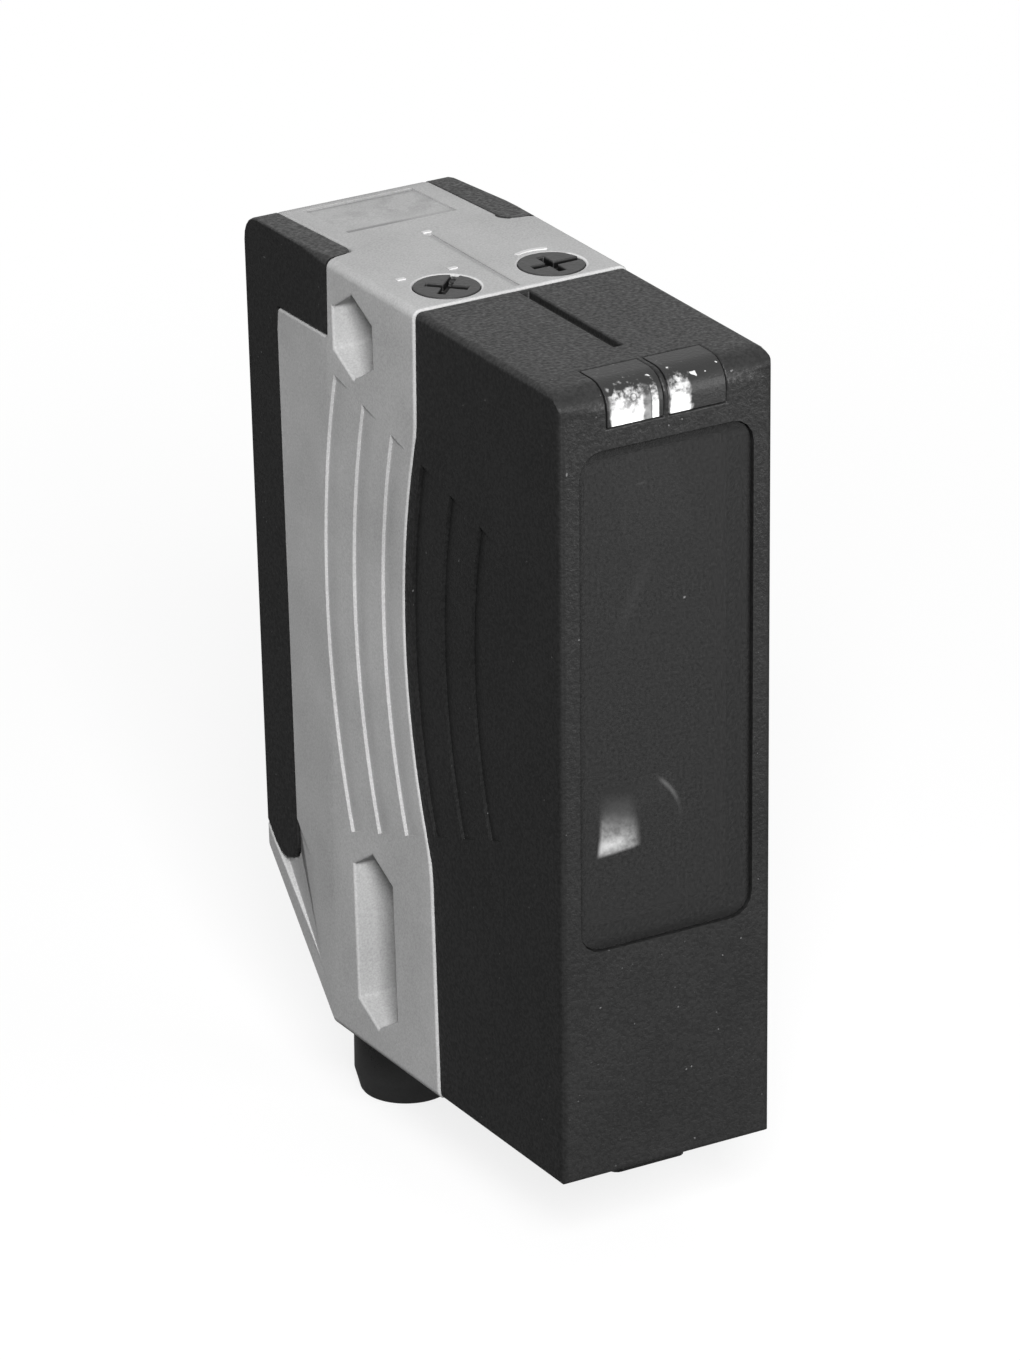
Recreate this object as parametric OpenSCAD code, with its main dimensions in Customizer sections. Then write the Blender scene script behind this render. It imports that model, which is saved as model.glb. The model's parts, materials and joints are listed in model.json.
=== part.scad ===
// Diffuse photoelectric sensor: a block housing of three shells with a turning plug outlet.
// Housing frame: X is across the width with 0 in the middle, Y runs from the front face to the
// rear, Z runs up from the underside. placed() moves all of it so that the origin is in the
// middle of the upper mounting hole.

/* [Housing] */
// Width of the middle frame
housing_w = 25.8; // [25:0.1:28]
// Height of the middle frame
housing_h = 88; // [86:0.5:94]
// Depth from the front face to the rear edge, along the top
housing_d = 65.5; // [64:0.5:70]
// Thickness of the shell walls
wall = 2.2; // [2:0.05:2.4]
// Thickness of the front wall behind the front window
front_wall = 3.2; // [2.8:0.1:4]
// How far the middle frame stands proud of the front housing
frame_step = 0.2; // [0.1:0.05:0.3]
// Lean of the rear edge and of the mounting line away from the front face
lean = 2.6; // [1.8:0.2:3.4]
// Draft of the sides towards the rear edge
rear_draft = 2.6; // [1:0.2:3.4]
// Depth at which the draft and the cover arms start
draft_y = 46.5; // [46:0.5:48]
// Radius of the top front edge
top_front_r = 2.8; // [1:0.2:3.4]
// Radius of the top rear edge
top_rear_r = 3; // [1:0.2:4]
// Radius of the long edges of the middle frame
frame_edge_r = 1; // [0.4:0.1:1.4]
// Radius of the edges of the front housing
front_edge_r = 0.8; // [0.3:0.1:1.2]
// Width of the sighting groove along the top
sight_w = 1.1; // [0.8:0.1:1.6]
// Depth of the sighting groove
sight_depth = 0.9; // [0.5:0.1:1.2]
// Distance of its front end behind the front face
sight_y0 = 9.4; // [8:0.2:12]
// Distance of its rear end, and of the line that carries it on, from the parting line
sight_gap = 0.7; // [0.5:0.1:1]
// Width of the line that carries the sighting groove on along the middle frame
sight_line_w = 0.6; // [0.4:0.1:0.9]
// Depth of that line
sight_line_depth = 0.15; // [0.1:0.05:0.3]
// Length of that line
sight_line_len = 18; // [14:0.5:19]
// Width of the shallow foot under the front
foot_w = 10.2; // [8:0.2:12]
// Height of the foot below the underside
foot_drop = 1.7; // [1:0.1:2.4]
// Distance of the foot behind the front face
foot_y0 = 2.7; // [2:0.1:4]
// Distance of the foot's rear end behind the front face
foot_y1 = 20; // [12:0.5:22]
// Corner radius of the foot
foot_r = 3; // [1:0.2:3.6]

/* [Parting line] */
// Depth of the parting line at the top
part_top_y = 28.4; // [27.8:0.1:28.6]
// Depth of the parting line at its deepest point
part_mid_y = 31.1; // [30.6:0.1:31.6]
// Distance of its deepest point below the top
part_mid_drop = 34; // [32:0.5:36]
// Depth of the parting line at the underside
part_bottom_y = 24.9; // [24.5:0.1:25.5]
// Radius of its long arc
part_r = 75.1; // [72:0.5:80]
// Radius of the blends into the straight ends
part_blend_r = 20; // [12:1:24]
// Length of the tongue that locates the two shells
tongue_len = 1.5; // [1:0.1:2]
// Thickness of the tongue
tongue_t = 0.8; // [0.6:0.05:0.9]
// Thickness of the two shell gaskets when clamped
gasket_t = 0.6; // [0.4:0.1:0.9]

/* [Grips] */
// Distance from one grip edge to the next
grip_pitch = 6; // [5.6:0.1:6.4]
// Distance from the parting line to the first grip edge behind it
grip_offset = 4.5; // [4.2:0.1:4.8]
// Depth of a grip groove at its edge
grip_depth = 0.4; // [0.2:0.05:0.6]
// Length over which a grip groove runs out
grip_ramp = 3.3; // [2.4:0.1:3.7]
// Number of grips on each shell
grip_count = 3; // [2:1:3]

/* [Mounting] */
// Depth of the upper mounting hole behind the front face
hole_y = 41; // [40.8:0.1:41.6]
// Distance of the upper mounting hole below the top
hole_drop = 7; // [6.8:0.1:8]
// Height of the middle of the slot above the underside
slot_z = 13.27; // [12.8:0.01:14]
// Diameter of the mounting hole and width of the slot
screw_hole_d = 5.3; // [5.2:0.1:5.6]
// Width across the flats of the nut recesses
nut_af = 8; // [7.8:0.1:8.2]
// Depth of the nut recesses
nut_depth = 5.5; // [4:0.1:6]
// Adjustment travel of the slot
slot_travel = 10.8; // [8:0.1:11.4]
// Wall around the mounting tunnels
tunnel_wall = 1.3; // [1.1:0.1:1.5]

/* [Rear cover] */
// Width of the cover on the sides
strip_w = 7.2; // [6:0.1:8]
// Width of the cover arms on the top
arm_w = 3.8; // [3:0.1:4.4]
// Distance from the top down to the lower edge of the cover arms
arm_h = 8.5; // [7:0.1:10]
// Radius of the inner front corner of the arms
arm_r = 2; // [1:0.1:2.4]
// Radius of the lower end of the cover on the sides
cover_end_r = 3; // [2:0.1:3.4]
// Thickness of the rim inside the cover
rim_t = 1.3; // [1:0.1:1.6]
// Depth of the plain recess in the top, for a label
label_depth = 0.25; // [0.15:0.05:0.5]
// Width of that recess
label_w = 13.2; // [10:0.2:14]
// Length of that recess
label_len = 9.5; // [8:0.5:10]
// Distance of that recess behind the front ends of the cover arms
label_gap = 6; // [5:0.5:7]

/* [Front window] */
// Width of the front window
window_w = 20.5; // [18:0.1:20.8]
// Height of the front window
window_h = 55; // [50:0.5:57]
// Distance from the top down to the front window
window_drop = 7; // [6.5:0.1:8]
// Thickness of the front window
window_t = 1.8; // [1.2:0.1:2.2]
// How far the window lies behind the front face
window_recess = 0.4; // [0.2:0.1:0.6]
// Corner radius of the front window
window_r = 2.6; // [1:0.1:3]
// Width of the ledge that the window rests on
window_ledge = 1.8; // [1.2:0.1:2.2]

/* [Optics] */
// Width of both lenses
lens_w = 15.6; // [14:0.1:16]
// Height of the emitter lens
emitter_lens_h = 15; // [12:0.1:16]
// Height of the wall between the two light channels
channel_gap = 3; // [2:0.1:4]
// Radius of the emitter lens face
emitter_lens_r = 20; // [16:0.5:30]
// Radius of the receiver lens face
receiver_lens_r = 40; // [34:1:60]
// Thickness of the lens rims
lens_rim = 1.4; // [1:0.1:2]
// Distance from the front of the lens holder to the lens seats
lens_seat = 4.4; // [4:0.1:4.6]
// Wall of the lens holder
holder_wall = 1.2; // [1:0.1:1.4]
// Depth of the wide front part of the lens holder
holder_front_d = 9; // [8:0.1:10]
// Width of the light channels behind that
funnel_w = 8; // [7:0.1:8.2]
// Depth of the lens holder from front to back
holder_d = 18.6; // [17:0.1:19.4]

/* [Indicators] */
// Width of the two indicator windows together
indicator_w = 14; // [12:0.1:15]
// Height of the indicator windows
indicator_h = 4.4; // [3.6:0.1:4.4]
// Depth of the indicator windows along the top
indicator_d = 5.2; // [4.6:0.1:6]
// Thickness of the rib between them
indicator_rib = 0.6; // [0.4:0.1:1]
// How much narrower the light guides are than their windows
guide_step = 0.8; // [0.7:0.1:1.2]

/* [Adjusters] */
// Diameter of the adjuster heads
adjuster_d = 7; // [6.8:0.1:7.3]
// Distance between the two adjusters
adjuster_pitch = 12.6; // [12:0.1:13]
// Depth of the adjusters behind the front face
adjuster_y = 32.8; // [32.6:0.1:32.9]
// Height of the adjuster heads
adjuster_h = 3.2; // [3:0.1:3.6]
// Diameter of the adjuster stems
stem_d = 3.7; // [3:0.1:4]
// Width of the driver slots
driver_slot = 0.9; // [0.6:0.1:1.2]
// Thickness of the sealing rings
seal_t = 1; // [0.8:0.05:1.1]
// Height of the marks beside the adjusters
mark_h = 0.15; // [0.1:0.05:0.3]

/* [Plug outlet] */
// Distance in front of the rear edge at which the 45 degree face leaves the underside
outlet_inset = 18.7; // [17.5:0.1:18.9]
// Distance of the plug's axis in front of the rear edge
plug_inset = 11.5; // [10.9:0.1:11.9]
// Diameter of the plug
plug_d = 11.4; // [11:0.1:12]
// Distance of the plug's end below the underside
plug_drop = 13.3; // [12:0.1:15]
// Length of the plug's tapered end
plug_lead = 2.6; // [1:0.1:3]
// Distance below the underside of the shoulder that stops the cable's coupling on the plug
shoulder_drop = 4.7; // [4:0.1:5.6]
// Diameter of the elbow above that shoulder
elbow_d = 12.4; // [12.2:0.1:12.8]
// Diameter of the opening in the plug
socket_d = 8.6; // [8.2:0.1:8.8]
// Depth of the opening in the plug
socket_depth = 9; // [8:0.1:10]
// Diameter of the turret's flange on the 45 degree face
flange_d = 17; // [16.6:0.1:17.6]
// Thickness of the turret's flange
flange_t = 2; // [1.6:0.1:2.4]
// Diameter of the turret's neck
neck_d = 11; // [10.6:0.1:11.4]
// Width of the rim along the 45 degree face
lip_w = 2; // [1.6:0.1:2.4]
// Depth of the scoop in front of that rim, at its upper end
scoop_depth = 0.6; // [0.3:0.05:0.8]
// Distance over which the scoop fades out away from the rim
scoop_reach = 7; // [5:0.5:8]
// Distance of the scoop's lower end along the 45 degree face
scoop_start = 3.4; // [2.5:0.1:4]
// Diameter of the contact pins
pin_d = 1; // [0.8:0.1:1.1]

/* [Screws] */
// Distance of the case screws from the sides
post_inset = 4.7; // [4.6:0.1:4.9]
// Height of the lower case screws above the middle of the slot
post_low_rise = 16.7; // [16.5:0.1:17.5]
// Distance of the upper case screws below the top
post_high_drop = 16.5; // [16:0.5:17.5]
// Diameter of the screw posts
post_d = 5.2; // [5.1:0.1:5.4]
// Diameter of the case screws
case_screw_d = 2.2; // [2:0.1:2.4]
// Diameter of the case screw heads
case_head_d = 3.8; // [3.6:0.1:4]
// Depth of the case screw heads in the cover
case_head_h = 1.2; // [1:0.1:1.4]

/* [Boards] */
// Thickness of the circuit boards
board_t = 1.6; // [1:0.1:1.6]
// Width of the optics board
optics_board_w = 10.6; // [10:0.1:10.8]
// Diameter of the bundle of leads to the plug
leads_d = 3; // [2.4:0.1:3.4]

/* [Fits] */
// Gap between shells and parts that are fixed
fit = 0.1; // [0.05:0.01:0.15]
// Radial clearance of parts that turn
turn_fit = 0.05; // [0.03:0.01:0.08]

/* [Hidden] */
$fn = 64;
FRONT_BLACK = "#2a2a2c";
FRAME_GREY = "#a8a9aa";
LENS_CLEAR = "#c8d4dc";
BOARD_GREEN = "#1f6b3f";
BRASS = "#c8a55a";
STEEL = "#b9bcc0";
RUBBER = "#1a1a1a";
half_w = housing_w / 2;
front_half_w = half_w - frame_step;
front_top_z = housing_h - frame_step;
lean_t = tan(lean);
draft_t = tan(rear_draft);
outlet_y = housing_d - outlet_inset;
plug_y = housing_d - plug_inset;
hole_z = housing_h - hole_drop;
hole_pitch = (hole_z - slot_z) / cos(lean);
part_mid_z = housing_h - part_mid_drop;
window_z = housing_h - window_drop - window_h / 2;
post_x = half_w - post_inset;
main_board_x = post_x - post_d / 2 - board_t;
post_low_z = slot_z + post_low_rise;
post_high_z = housing_h - post_high_drop;
past = 1;

// Rounding of outlines: each corner is [y, z, radius]
function unit(v) = v / norm(v);
function corner(a, p, b, r, n) =
    let (u = unit(a - p), v = unit(b - p), half = acos(u * v) / 2)
    let (c = p + unit(u + v) * r / sin(half))
    let (s = p + u * r / tan(half) - c, e = p + v * r / tan(half) - c, turn = 180 - 2 * half)
    [for (i = [0:n]) c + (sin((1 - i / n) * turn) * s + sin(i / n * turn) * e) / sin(turn)];
function xy(p) = [p[0], p[1]];
function rounded(list, n = 5) = [
    for (i = [0:len(list) - 1])
        let (m = len(list), a = list[(i + m - 1) % m], p = list[i], b = list[(i + 1) % m])
        each (p[2] == 0 ? [xy(p)] : corner(xy(a), xy(p), xy(b), p[2], n))
];
function arc(c, r, from, to, n, skip = 0) =
    [for (i = [skip:n - skip]) let (t = from + (to - from) * i / n) c + r * [cos(t), sin(t)]];
function back(list) = [for (i = [len(list) - 1:-1:0]) list[i]];

// Parting line: a long arc that the grips share their centre with, blended into straight ends
grip_c = [part_mid_y - part_r, part_mid_z];
blend_reach = part_r + part_blend_r;
top_c = let (y = part_top_y + part_blend_r)
    [y, part_mid_z + sqrt(pow(blend_reach, 2) - pow(y - grip_c[0], 2))];
bottom_c = let (
        y0 = part_bottom_y + part_blend_r / cos(lean),
        qa = 1 + lean_t * lean_t,
        qb = (y0 - grip_c[0]) * lean_t - part_mid_z,
        qc = pow(y0 - grip_c[0], 2) + pow(part_mid_z, 2) - pow(blend_reach, 2),
        z = (-qb - sqrt(qb * qb - qa * qc)) / qa)
    [y0 + z * lean_t, z];
function bearing(from, to) = atan2(to[1] - from[1], to[0] - from[0]);
grip_from = bearing(grip_c, bottom_c);
grip_to = bearing(grip_c, top_c);
parting_line = concat(
    [[part_bottom_y - 2 * past * lean_t, -2 * past]],
    arc(bottom_c, part_blend_r, 180 - lean, 180 + grip_from, 4),
    arc(grip_c, part_r, grip_from, grip_to, 16, 1),
    arc(top_c, part_blend_r, 180 + grip_to, 180, 4),
    [[part_top_y, housing_h + 2 * past]]);
function parting(dy) = [for (p = parting_line) p + [dy, 0]];
far_front = -2 * past;

// Rear outline of the frame and the cover
function rear_y(z) = housing_d - (housing_h - z) * lean_t;
rear_top_y = (housing_d + draft_y * lean_t * lean_t) / (1 + lean_t * lean_t);
rear_top = [rear_top_y, housing_h - (rear_top_y - draft_y) * lean_t];
outlet_top_z = (housing_d - housing_h * lean_t - outlet_y) / (1 - lean_t);
rear_outline = rounded([
    [far_front, 0, 0],
    [far_front, housing_h, 0],
    [draft_y, housing_h, 0],
    [rear_top[0], rear_top[1], top_rear_r],
    [outlet_y + outlet_top_z, outlet_top_z, 0.8],
    [outlet_y, 0, 0.8]]);

// Side outline of the cover: an arm on top, a strip along the rear edge, cut along the outlet's rim
rim_line_y = outlet_y - lip_w * sqrt(2);
strip_y0 = housing_d - strip_w - housing_h * lean_t;
arm_z = housing_h - arm_h;
arm_corner_z = arm_z - (strip_y0 + arm_z * lean_t - draft_y) * lean_t;
strip_end_z = (strip_y0 - rim_line_y) / (1 - lean_t);
far_rear = housing_d + 10;
cover_outline = rounded([
    [draft_y, housing_h + 2 * past, 0],
    [draft_y, arm_z, 0.3],
    [strip_y0 + arm_corner_z * lean_t, arm_corner_z, 0.6],
    [strip_y0 + strip_end_z * lean_t, strip_end_z, cover_end_r],
    [far_rear, far_rear - rim_line_y, 0],
    [far_rear, housing_h + 2 * past, 0]]);
arm_x = half_w - arm_w;

// Heights and depths of the inner parts
window_back_y = window_recess + window_t;
window_hole_w = window_w - 2 * window_ledge;
window_hole_h = window_h - 2 * window_ledge;
holder_w = lens_w + 2 * holder_wall;
receiver_lens_h = window_hole_h - emitter_lens_h - channel_gap;
emitter_z = window_z - window_hole_h / 2 + emitter_lens_h / 2;
receiver_z = window_z + window_hole_h / 2 - receiver_lens_h / 2;
holder_y0 = front_wall;
holder_y1 = holder_y0 + holder_d;
holder_h = window_hole_h + 2 * holder_wall;
holder_z0 = window_z - holder_h / 2;
holder_z1 = window_z + holder_h / 2;
holder_front_y = holder_y0 + holder_front_d;
lens_seat_y = holder_y0 + lens_seat;
lens_front_gap = 0.2;
seat_step = 1;
rear_wall_t = 3.4;
emitter_led_d = 5;
emitter_dome_d = 4;
emitter_base_t = 1.2;
detector = [4, 1.2, 3.6];
optics_board_y1 = holder_y1 + board_t;
indicator_z0 = front_top_z - indicator_h;
guide_z1 = front_top_z - wall - fit;
guide_x1 = indicator_w / 2 - guide_step;
indicator_led_size = [2.4, 1.6, 4];
guide_y1 = holder_y1 - indicator_led_size[1] - fit;

// Adjusters, from the top down: head, floor, snap barb, trimmer, board
head_z0 = housing_h - adjuster_h;
floor_t = 1.2;
stem_z0 = head_z0 - floor_t;
barb_h = 0.8;
barb_w = 0.4;
barb_slit = 0.6;
slit_h = 4;
cross_margin = 1.2;
pointer_w = 0.9;
drive_d = 2;
pot = [6.2, 5.7, 3.4];
pot_behind = 2.1;
pot_play = 0.4;
pot_y1 = adjuster_y + pot_behind;
pot_z1 = stem_z0 - barb_h - pot_play;
adjuster_board_z0 = pot_z1 - pot[2] - board_t;
adjuster_board_y0 = pot_y1 - pot[1] - pot_play;
board_play = 0.7;
adjuster_board_w = housing_w - 2 * (wall + board_play);
boss_wall = 1.2;
mark_gap = 0.6;
mark_w = 0.5;
mark_at = [-9.4, -3.2];
mark_arc = [65, 50];
sight_line_y0 = part_top_y + sight_gap;

// Boards: the main board lies against the right-hand screw posts and carries the adjuster board
link_gap = 8.1;
rear_play = 6.5;
main_board_y = [optics_board_y1 + link_gap, housing_d - rear_play];
main_board_z = [post_low_z - 1.6, post_high_z + 1.5];
chip = [1.4, 10, 10];
chip_set = [16, 4];
chip_corner = [main_board_y[1] - chip_set[0], part_mid_z - chip_set[1]];
link_wall = 2.6;
link_h = 16;
plug_block = [5.4, 7, 6];
plug_block_z0 = main_board_z[0] + 3;

// Plug outlet, in the frame of the 45 degree face
outlet_c = [0, plug_y, plug_y - outlet_y];
outlet_wall = 2.6;
ring_t = 1;
ring_w = 1.2;
ring_groove = 0.7;
ring_slot = 3;
neck_len = outlet_wall + turn_fit + ring_t + 0.8;
neck_bore = neck_d - 4;
groove_z = 0.8;
groove_play = 0.1;
lead_bend_r = 7;
lead_straight = 2;
elbow_back = 0.3;
bend_lap = 2;
bend_slim = 0.1;
lead_taper = 0.7;
carrier_z0 = socket_depth - plug_drop;
pin_circle_r = 2.5;
pin_set_back = 1.2;
pin_hold = 3;

// Rim and rear gasket inside the cover
rim_lap = 2;
rim_run = 3;

// Screws
head_sink = 0.3;
pilot_d = case_screw_d - 0.2;
post_y0 = holder_front_y + 2;
screw_y0 = holder_front_y + 8;
frame_post_y0 = draft_y - 4;
head_cross = [0.5, 1.2, 2.6];

// Placement helpers
module placed() translate([0, -hole_y, -hole_z]) children();
// A side outline (y, z) drawn out along X about the middle plane
module across(width) rotate([90, 0, 90]) translate([0, 0, -width / 2]) linear_extrude(width) children();
// A front outline (x, z) drawn out along Y
module along(y0, y1) translate([0, y1, 0]) rotate([90, 0, 0]) linear_extrude(y1 - y0) children();
// The frame of the mounting line: origin at the upper hole, -Z towards the slot
module leaned() translate([0, hole_y, hole_z]) rotate([-lean, 0, 0]) children();
// The frame of the 45 degree face: Z points out of the housing, Y up along the face
module outlet() translate(outlet_c) rotate([-135, 0, 0]) children();
module both_sides() {
    children();
    mirror([1, 0, 0]) children();
}
module block(x, y, z) translate([x[0], y[0], z[0]]) cube([x[1] - x[0], y[1] - y[0], z[1] - z[0]]);
module rod_y(x, z, y0, y1, d) translate([x, y0, z]) rotate([-90, 0, 0]) cylinder(h = y1 - y0, d = d);
module rod_z(x, y, z0, z1, d) translate([x, y, z0]) cylinder(h = z1 - z0, d = d);
module rounded_box(x0, x1, z0, z1, r, n = 4) polygon(rounded([
    [x0, z0, r], [x0, z1, r], [x1, z1, r], [x1, z0, r]], n));

// Solid blocks that the shells are cut from, inset by t
module frame_block(t) {
    y_end = housing_d + 2 * past;
    w0 = half_w - t;
    w1 = w0 - (y_end - draft_y) * draft_t;
    intersection() {
        across(housing_w + past) offset(delta = -t) polygon(rear_outline);
        translate([0, 0, -past]) linear_extrude(housing_h + 2 * past)
            polygon([[-w0, far_front], [w0, far_front], [w0, draft_y],
                [w1, y_end], [-w1, y_end], [-w0, draft_y]]);
        along(far_front, y_end)
            rounded_box(-w0, w0, t, housing_h - t, max(frame_edge_r - t, 0.2));
    }
}
module front_block() {
    y_end = part_mid_y + past;
    intersection() {
        across(housing_w) polygon(rounded([
            [0, frame_step, front_edge_r], [0, front_top_z, top_front_r],
            [y_end, front_top_z, 0], [y_end, frame_step, 0]]));
        translate([0, 0, -past]) linear_extrude(housing_h + 2 * past) polygon(rounded([
            [-front_half_w, 0, front_edge_r], [front_half_w, 0, front_edge_r],
            [front_half_w, y_end, 0], [-front_half_w, y_end, 0]]));
        along(-past, y_end) rounded_box(-front_half_w, front_half_w, frame_step, front_top_z, front_edge_r);
    }
}
// Everything in front of the parting line moved back by dy
module front_zone(dy) across(housing_w + 4 * past)
    polygon(concat([[far_front - past, -2 * past]], parting(dy), [[far_front - past, housing_h + 2 * past]]));
// The band between two copies of the parting line
module parting_band(dy0, dy1) across(housing_w + past) polygon(concat(parting(dy0), back(parting(dy1))));
// Ring between two insets of the frame's cross section, for the tongue and its gasket
module ring_tube(t_out, t_in) along(part_bottom_y - 4, part_mid_y + 4) difference() {
    square_box(t_out);
    square_box(t_in);
}
module square_box(t) translate([-(half_w - t), t]) square([housing_w - 2 * t, housing_h - 2 * t]);

// Grip grooves: a step at the outer radius that ramps out towards the front
module grips(first, surface) both_sides()
    for (i = [0:grip_count - 1]) {
        r = part_r + grip_offset + (first + i) * grip_pitch;
        translate([0, grip_c[0], grip_c[1]]) rotate([90, 0, 90])
            rotate_extrude(angle = grip_to - grip_from, start = grip_from, $fn = 180)
                polygon([[r, surface - grip_depth], [r, surface + past], [r - grip_ramp, surface + past],
                    [r - grip_ramp, surface]]);
    }

// Mounting profiles in the frame of the mounting line
module nut_outline(wall_t, travel) {
    w = nut_af / 2 + wall_t;
    tip = travel / 2 + w / cos(30);
    side = travel / 2 + w * tan(30);
    polygon([[0, tip], [w, side], [w, -side], [0, -tip], [-w, -side], [-w, side]]);
}
module screw_outline(wall_t, travel) {
    for (z = travel > 0 ? [-travel / 2, travel / 2] : [0])
        translate([0, z]) circle(screw_hole_d / 2 + wall_t);
    if (travel > 0) square([screw_hole_d + 2 * wall_t, travel], center = true);
}
module mounting_tunnel(travel) {
    recess_x = half_w - nut_depth;
    across(2 * (recess_x - tunnel_wall)) screw_outline(tunnel_wall, travel);
    both_sides() translate([(recess_x - tunnel_wall + half_w - wall / 2) / 2, 0, 0])
        across(nut_depth + tunnel_wall - wall / 2) nut_outline(tunnel_wall, travel);
}
module mounting_cut(travel) {
    across(housing_w + past) screw_outline(0, travel);
    both_sides() translate([half_w - nut_depth / 2 + past / 2, 0, 0])
        across(nut_depth + past) nut_outline(0, travel);
}

// Screw posts, in both shells
module at_posts() for (x = [-post_x, post_x], z = [post_low_z, post_high_z]) translate([x, 0, z]) children();
module post(y0, y1, d) rod_y(0, 0, y0, y1, d);

// The top between the cover arms, which stays with the middle frame
module top_centre(gap, drop) intersection() {
    across(housing_w) polygon([
        [draft_y - 3 * past, housing_h - wall - drop], [draft_y, housing_h - wall - drop],
        [far_rear, housing_h - wall - drop - (far_rear - draft_y) * lean_t],
        [far_rear, housing_h + past], [draft_y - 3 * past, housing_h + past]]);
    translate([0, 0, housing_h - 3 * wall]) linear_extrude(4 * wall) offset(delta = -gap) difference() {
        translate([-arm_x - arm_r, draft_y - 3 * past]) square([2 * (arm_x + arm_r), far_rear - draft_y]);
        for (s = [-1, 1]) {
            translate([s * (arm_x + arm_r), draft_y + arm_r]) circle(arm_r);
            translate([s > 0 ? arm_x : -arm_x - arm_r, draft_y + arm_r]) square([arm_r, far_rear]);
        }
    }
}

// Scoop in front of the outlet's rim: deepest at the upper end, running out downwards
module scoop() {
    run = strip_end_z * sqrt(2) - scoop_start;
    both_sides() translate([half_w, draft_y, 0]) rotate([0, 0, rear_draft])
        translate([0, outlet_y - draft_y, 0]) rotate([45, 0, 0]) translate([0, scoop_start, 0])
            rotate([0, 0, atan(scoop_depth / run)]) rotate([-90, 0, 0]) linear_extrude(2 * run)
                polygon([[0, -lip_w], [past, -lip_w], [past, -lip_w - scoop_reach],
                    [scoop_depth, -lip_w - scoop_reach]]);
}

// The space for the frame's rim: close inside the cover, and into the frame's wall in front of it
module inside_cover() {
    frame_block(wall + fit);
    difference() {
        frame_block(wall / 2);
        across(housing_w + past) offset(delta = fit) polygon(cover_outline);
    }
    intersection() {
        frame_block(wall / 2);
        top_centre(fit, wall / 2);
    }
}
// The space inside that rim, open to the rear only
module rim_core() intersection() {
    translate([0, rim_run, 0]) frame_block(wall + fit + rim_t);
    translate([0, rim_run, rim_run]) frame_block(wall + fit + rim_t);
}
function inner_rear_y(z) = rear_y(z) - wall / cos(lean);
module in_front_of_gasket() polygon([[0, 0], [inner_rear_y(0) - gasket_t, 0],
    [inner_rear_y(housing_h) - gasket_t, housing_h], [0, housing_h]]);

module middle_frame() color(FRAME_GREY) placed() difference() {
    union() {
        difference() {
            union() {
                difference() {
                    frame_block(0);
                    frame_block(wall);
                    front_zone(0);
                }
                leaned() mounting_tunnel(0);
                leaned() translate([0, 0, -hole_pitch]) mounting_tunnel(slot_travel);
            }
            difference() {
                across(housing_w + past) offset(delta = fit) polygon(cover_outline);
                top_centre(fit, 0);
            }
        }
        // Tongue towards the front housing
        intersection() {
            ring_tube(wall - tongue_t, wall);
            parting_band(-tongue_len, past);
        }
        // Rim and screw posts inside the cover, both ending at the rear gasket
        intersection() {
            inside_cover();
            union() {
                difference() {
                    across(housing_w) offset(delta = rim_lap) polygon(cover_outline);
                    rim_core();
                }
                at_posts() post(frame_post_y0, housing_d, post_d);
            }
            across(housing_w) in_front_of_gasket();
        }
        difference() {
            at_adjusters() rod_z(0, 0, stem_z0, housing_h - wall / 2, adjuster_d + 2 * boss_wall);
            front_zone(0);
        }
        // Thick seat for the turret
        intersection() {
            outlet() translate([0, 0, -outlet_wall]) cylinder(h = outlet_wall, d = flange_d + 2);
            frame_block(0);
        }
        index_marks();
    }
    leaned() mounting_cut(0);
    leaned() translate([0, 0, -hole_pitch]) mounting_cut(slot_travel);
    grips(0, half_w);
    at_adjusters() {
        rod_z(0, 0, head_z0, housing_h + past, adjuster_d + 2 * turn_fit);
        rod_z(0, 0, stem_z0 - past, housing_h, stem_d + 2 * turn_fit);
    }
    at_posts() post(frame_post_y0 - past, housing_d, case_screw_d + 2 * fit);
    outlet() translate([0, 0, -2 * neck_len]) {
        cylinder(h = 3 * neck_len, d = neck_d + 2 * turn_fit);
        cylinder(h = 2 * neck_len - outlet_wall, d = neck_d + 2 * ring_w + past);
    }
    scoop();
    // The line that carries on the sighting groove, and the plain label recess
    block([-sight_line_w / 2, sight_line_w / 2], [sight_line_y0, sight_line_y0 + sight_line_len],
        [housing_h - sight_line_depth, housing_h + past]);
    label_recess();
}
module at_adjusters() for (s = [-1, 1]) translate([s * adjuster_pitch / 2, adjuster_y, 0]) children();
module label_recess() translate([0, draft_y, housing_h]) rotate([-lean, 0, 0])
    block([-label_w / 2, label_w / 2], [label_gap, label_gap + label_len], [-label_depth, past]);
// Raised marks: two bars beside the left adjuster, an arc beside the right one, and one at the line's end
module index_marks() {
    line_end = sight_line_y0 + sight_line_len + mark_gap / 2;
    block([-mark_w, mark_w], [line_end, line_end + mark_w], [housing_h - past, housing_h + mark_h]);
    mark_y0 = adjuster_y + adjuster_d / 2 + mark_gap / 2;
    for (x = mark_at)
        block([x - mark_w, x + mark_w], [mark_y0, mark_y0 + mark_w], [housing_h - past, housing_h + mark_h]);
    translate([adjuster_pitch / 2, adjuster_y, housing_h - past])
        rotate_extrude(angle = mark_arc[1], start = mark_arc[0])
            translate([adjuster_d / 2 + mark_gap, 0]) square([mark_w, past + mark_h]);
}

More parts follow.
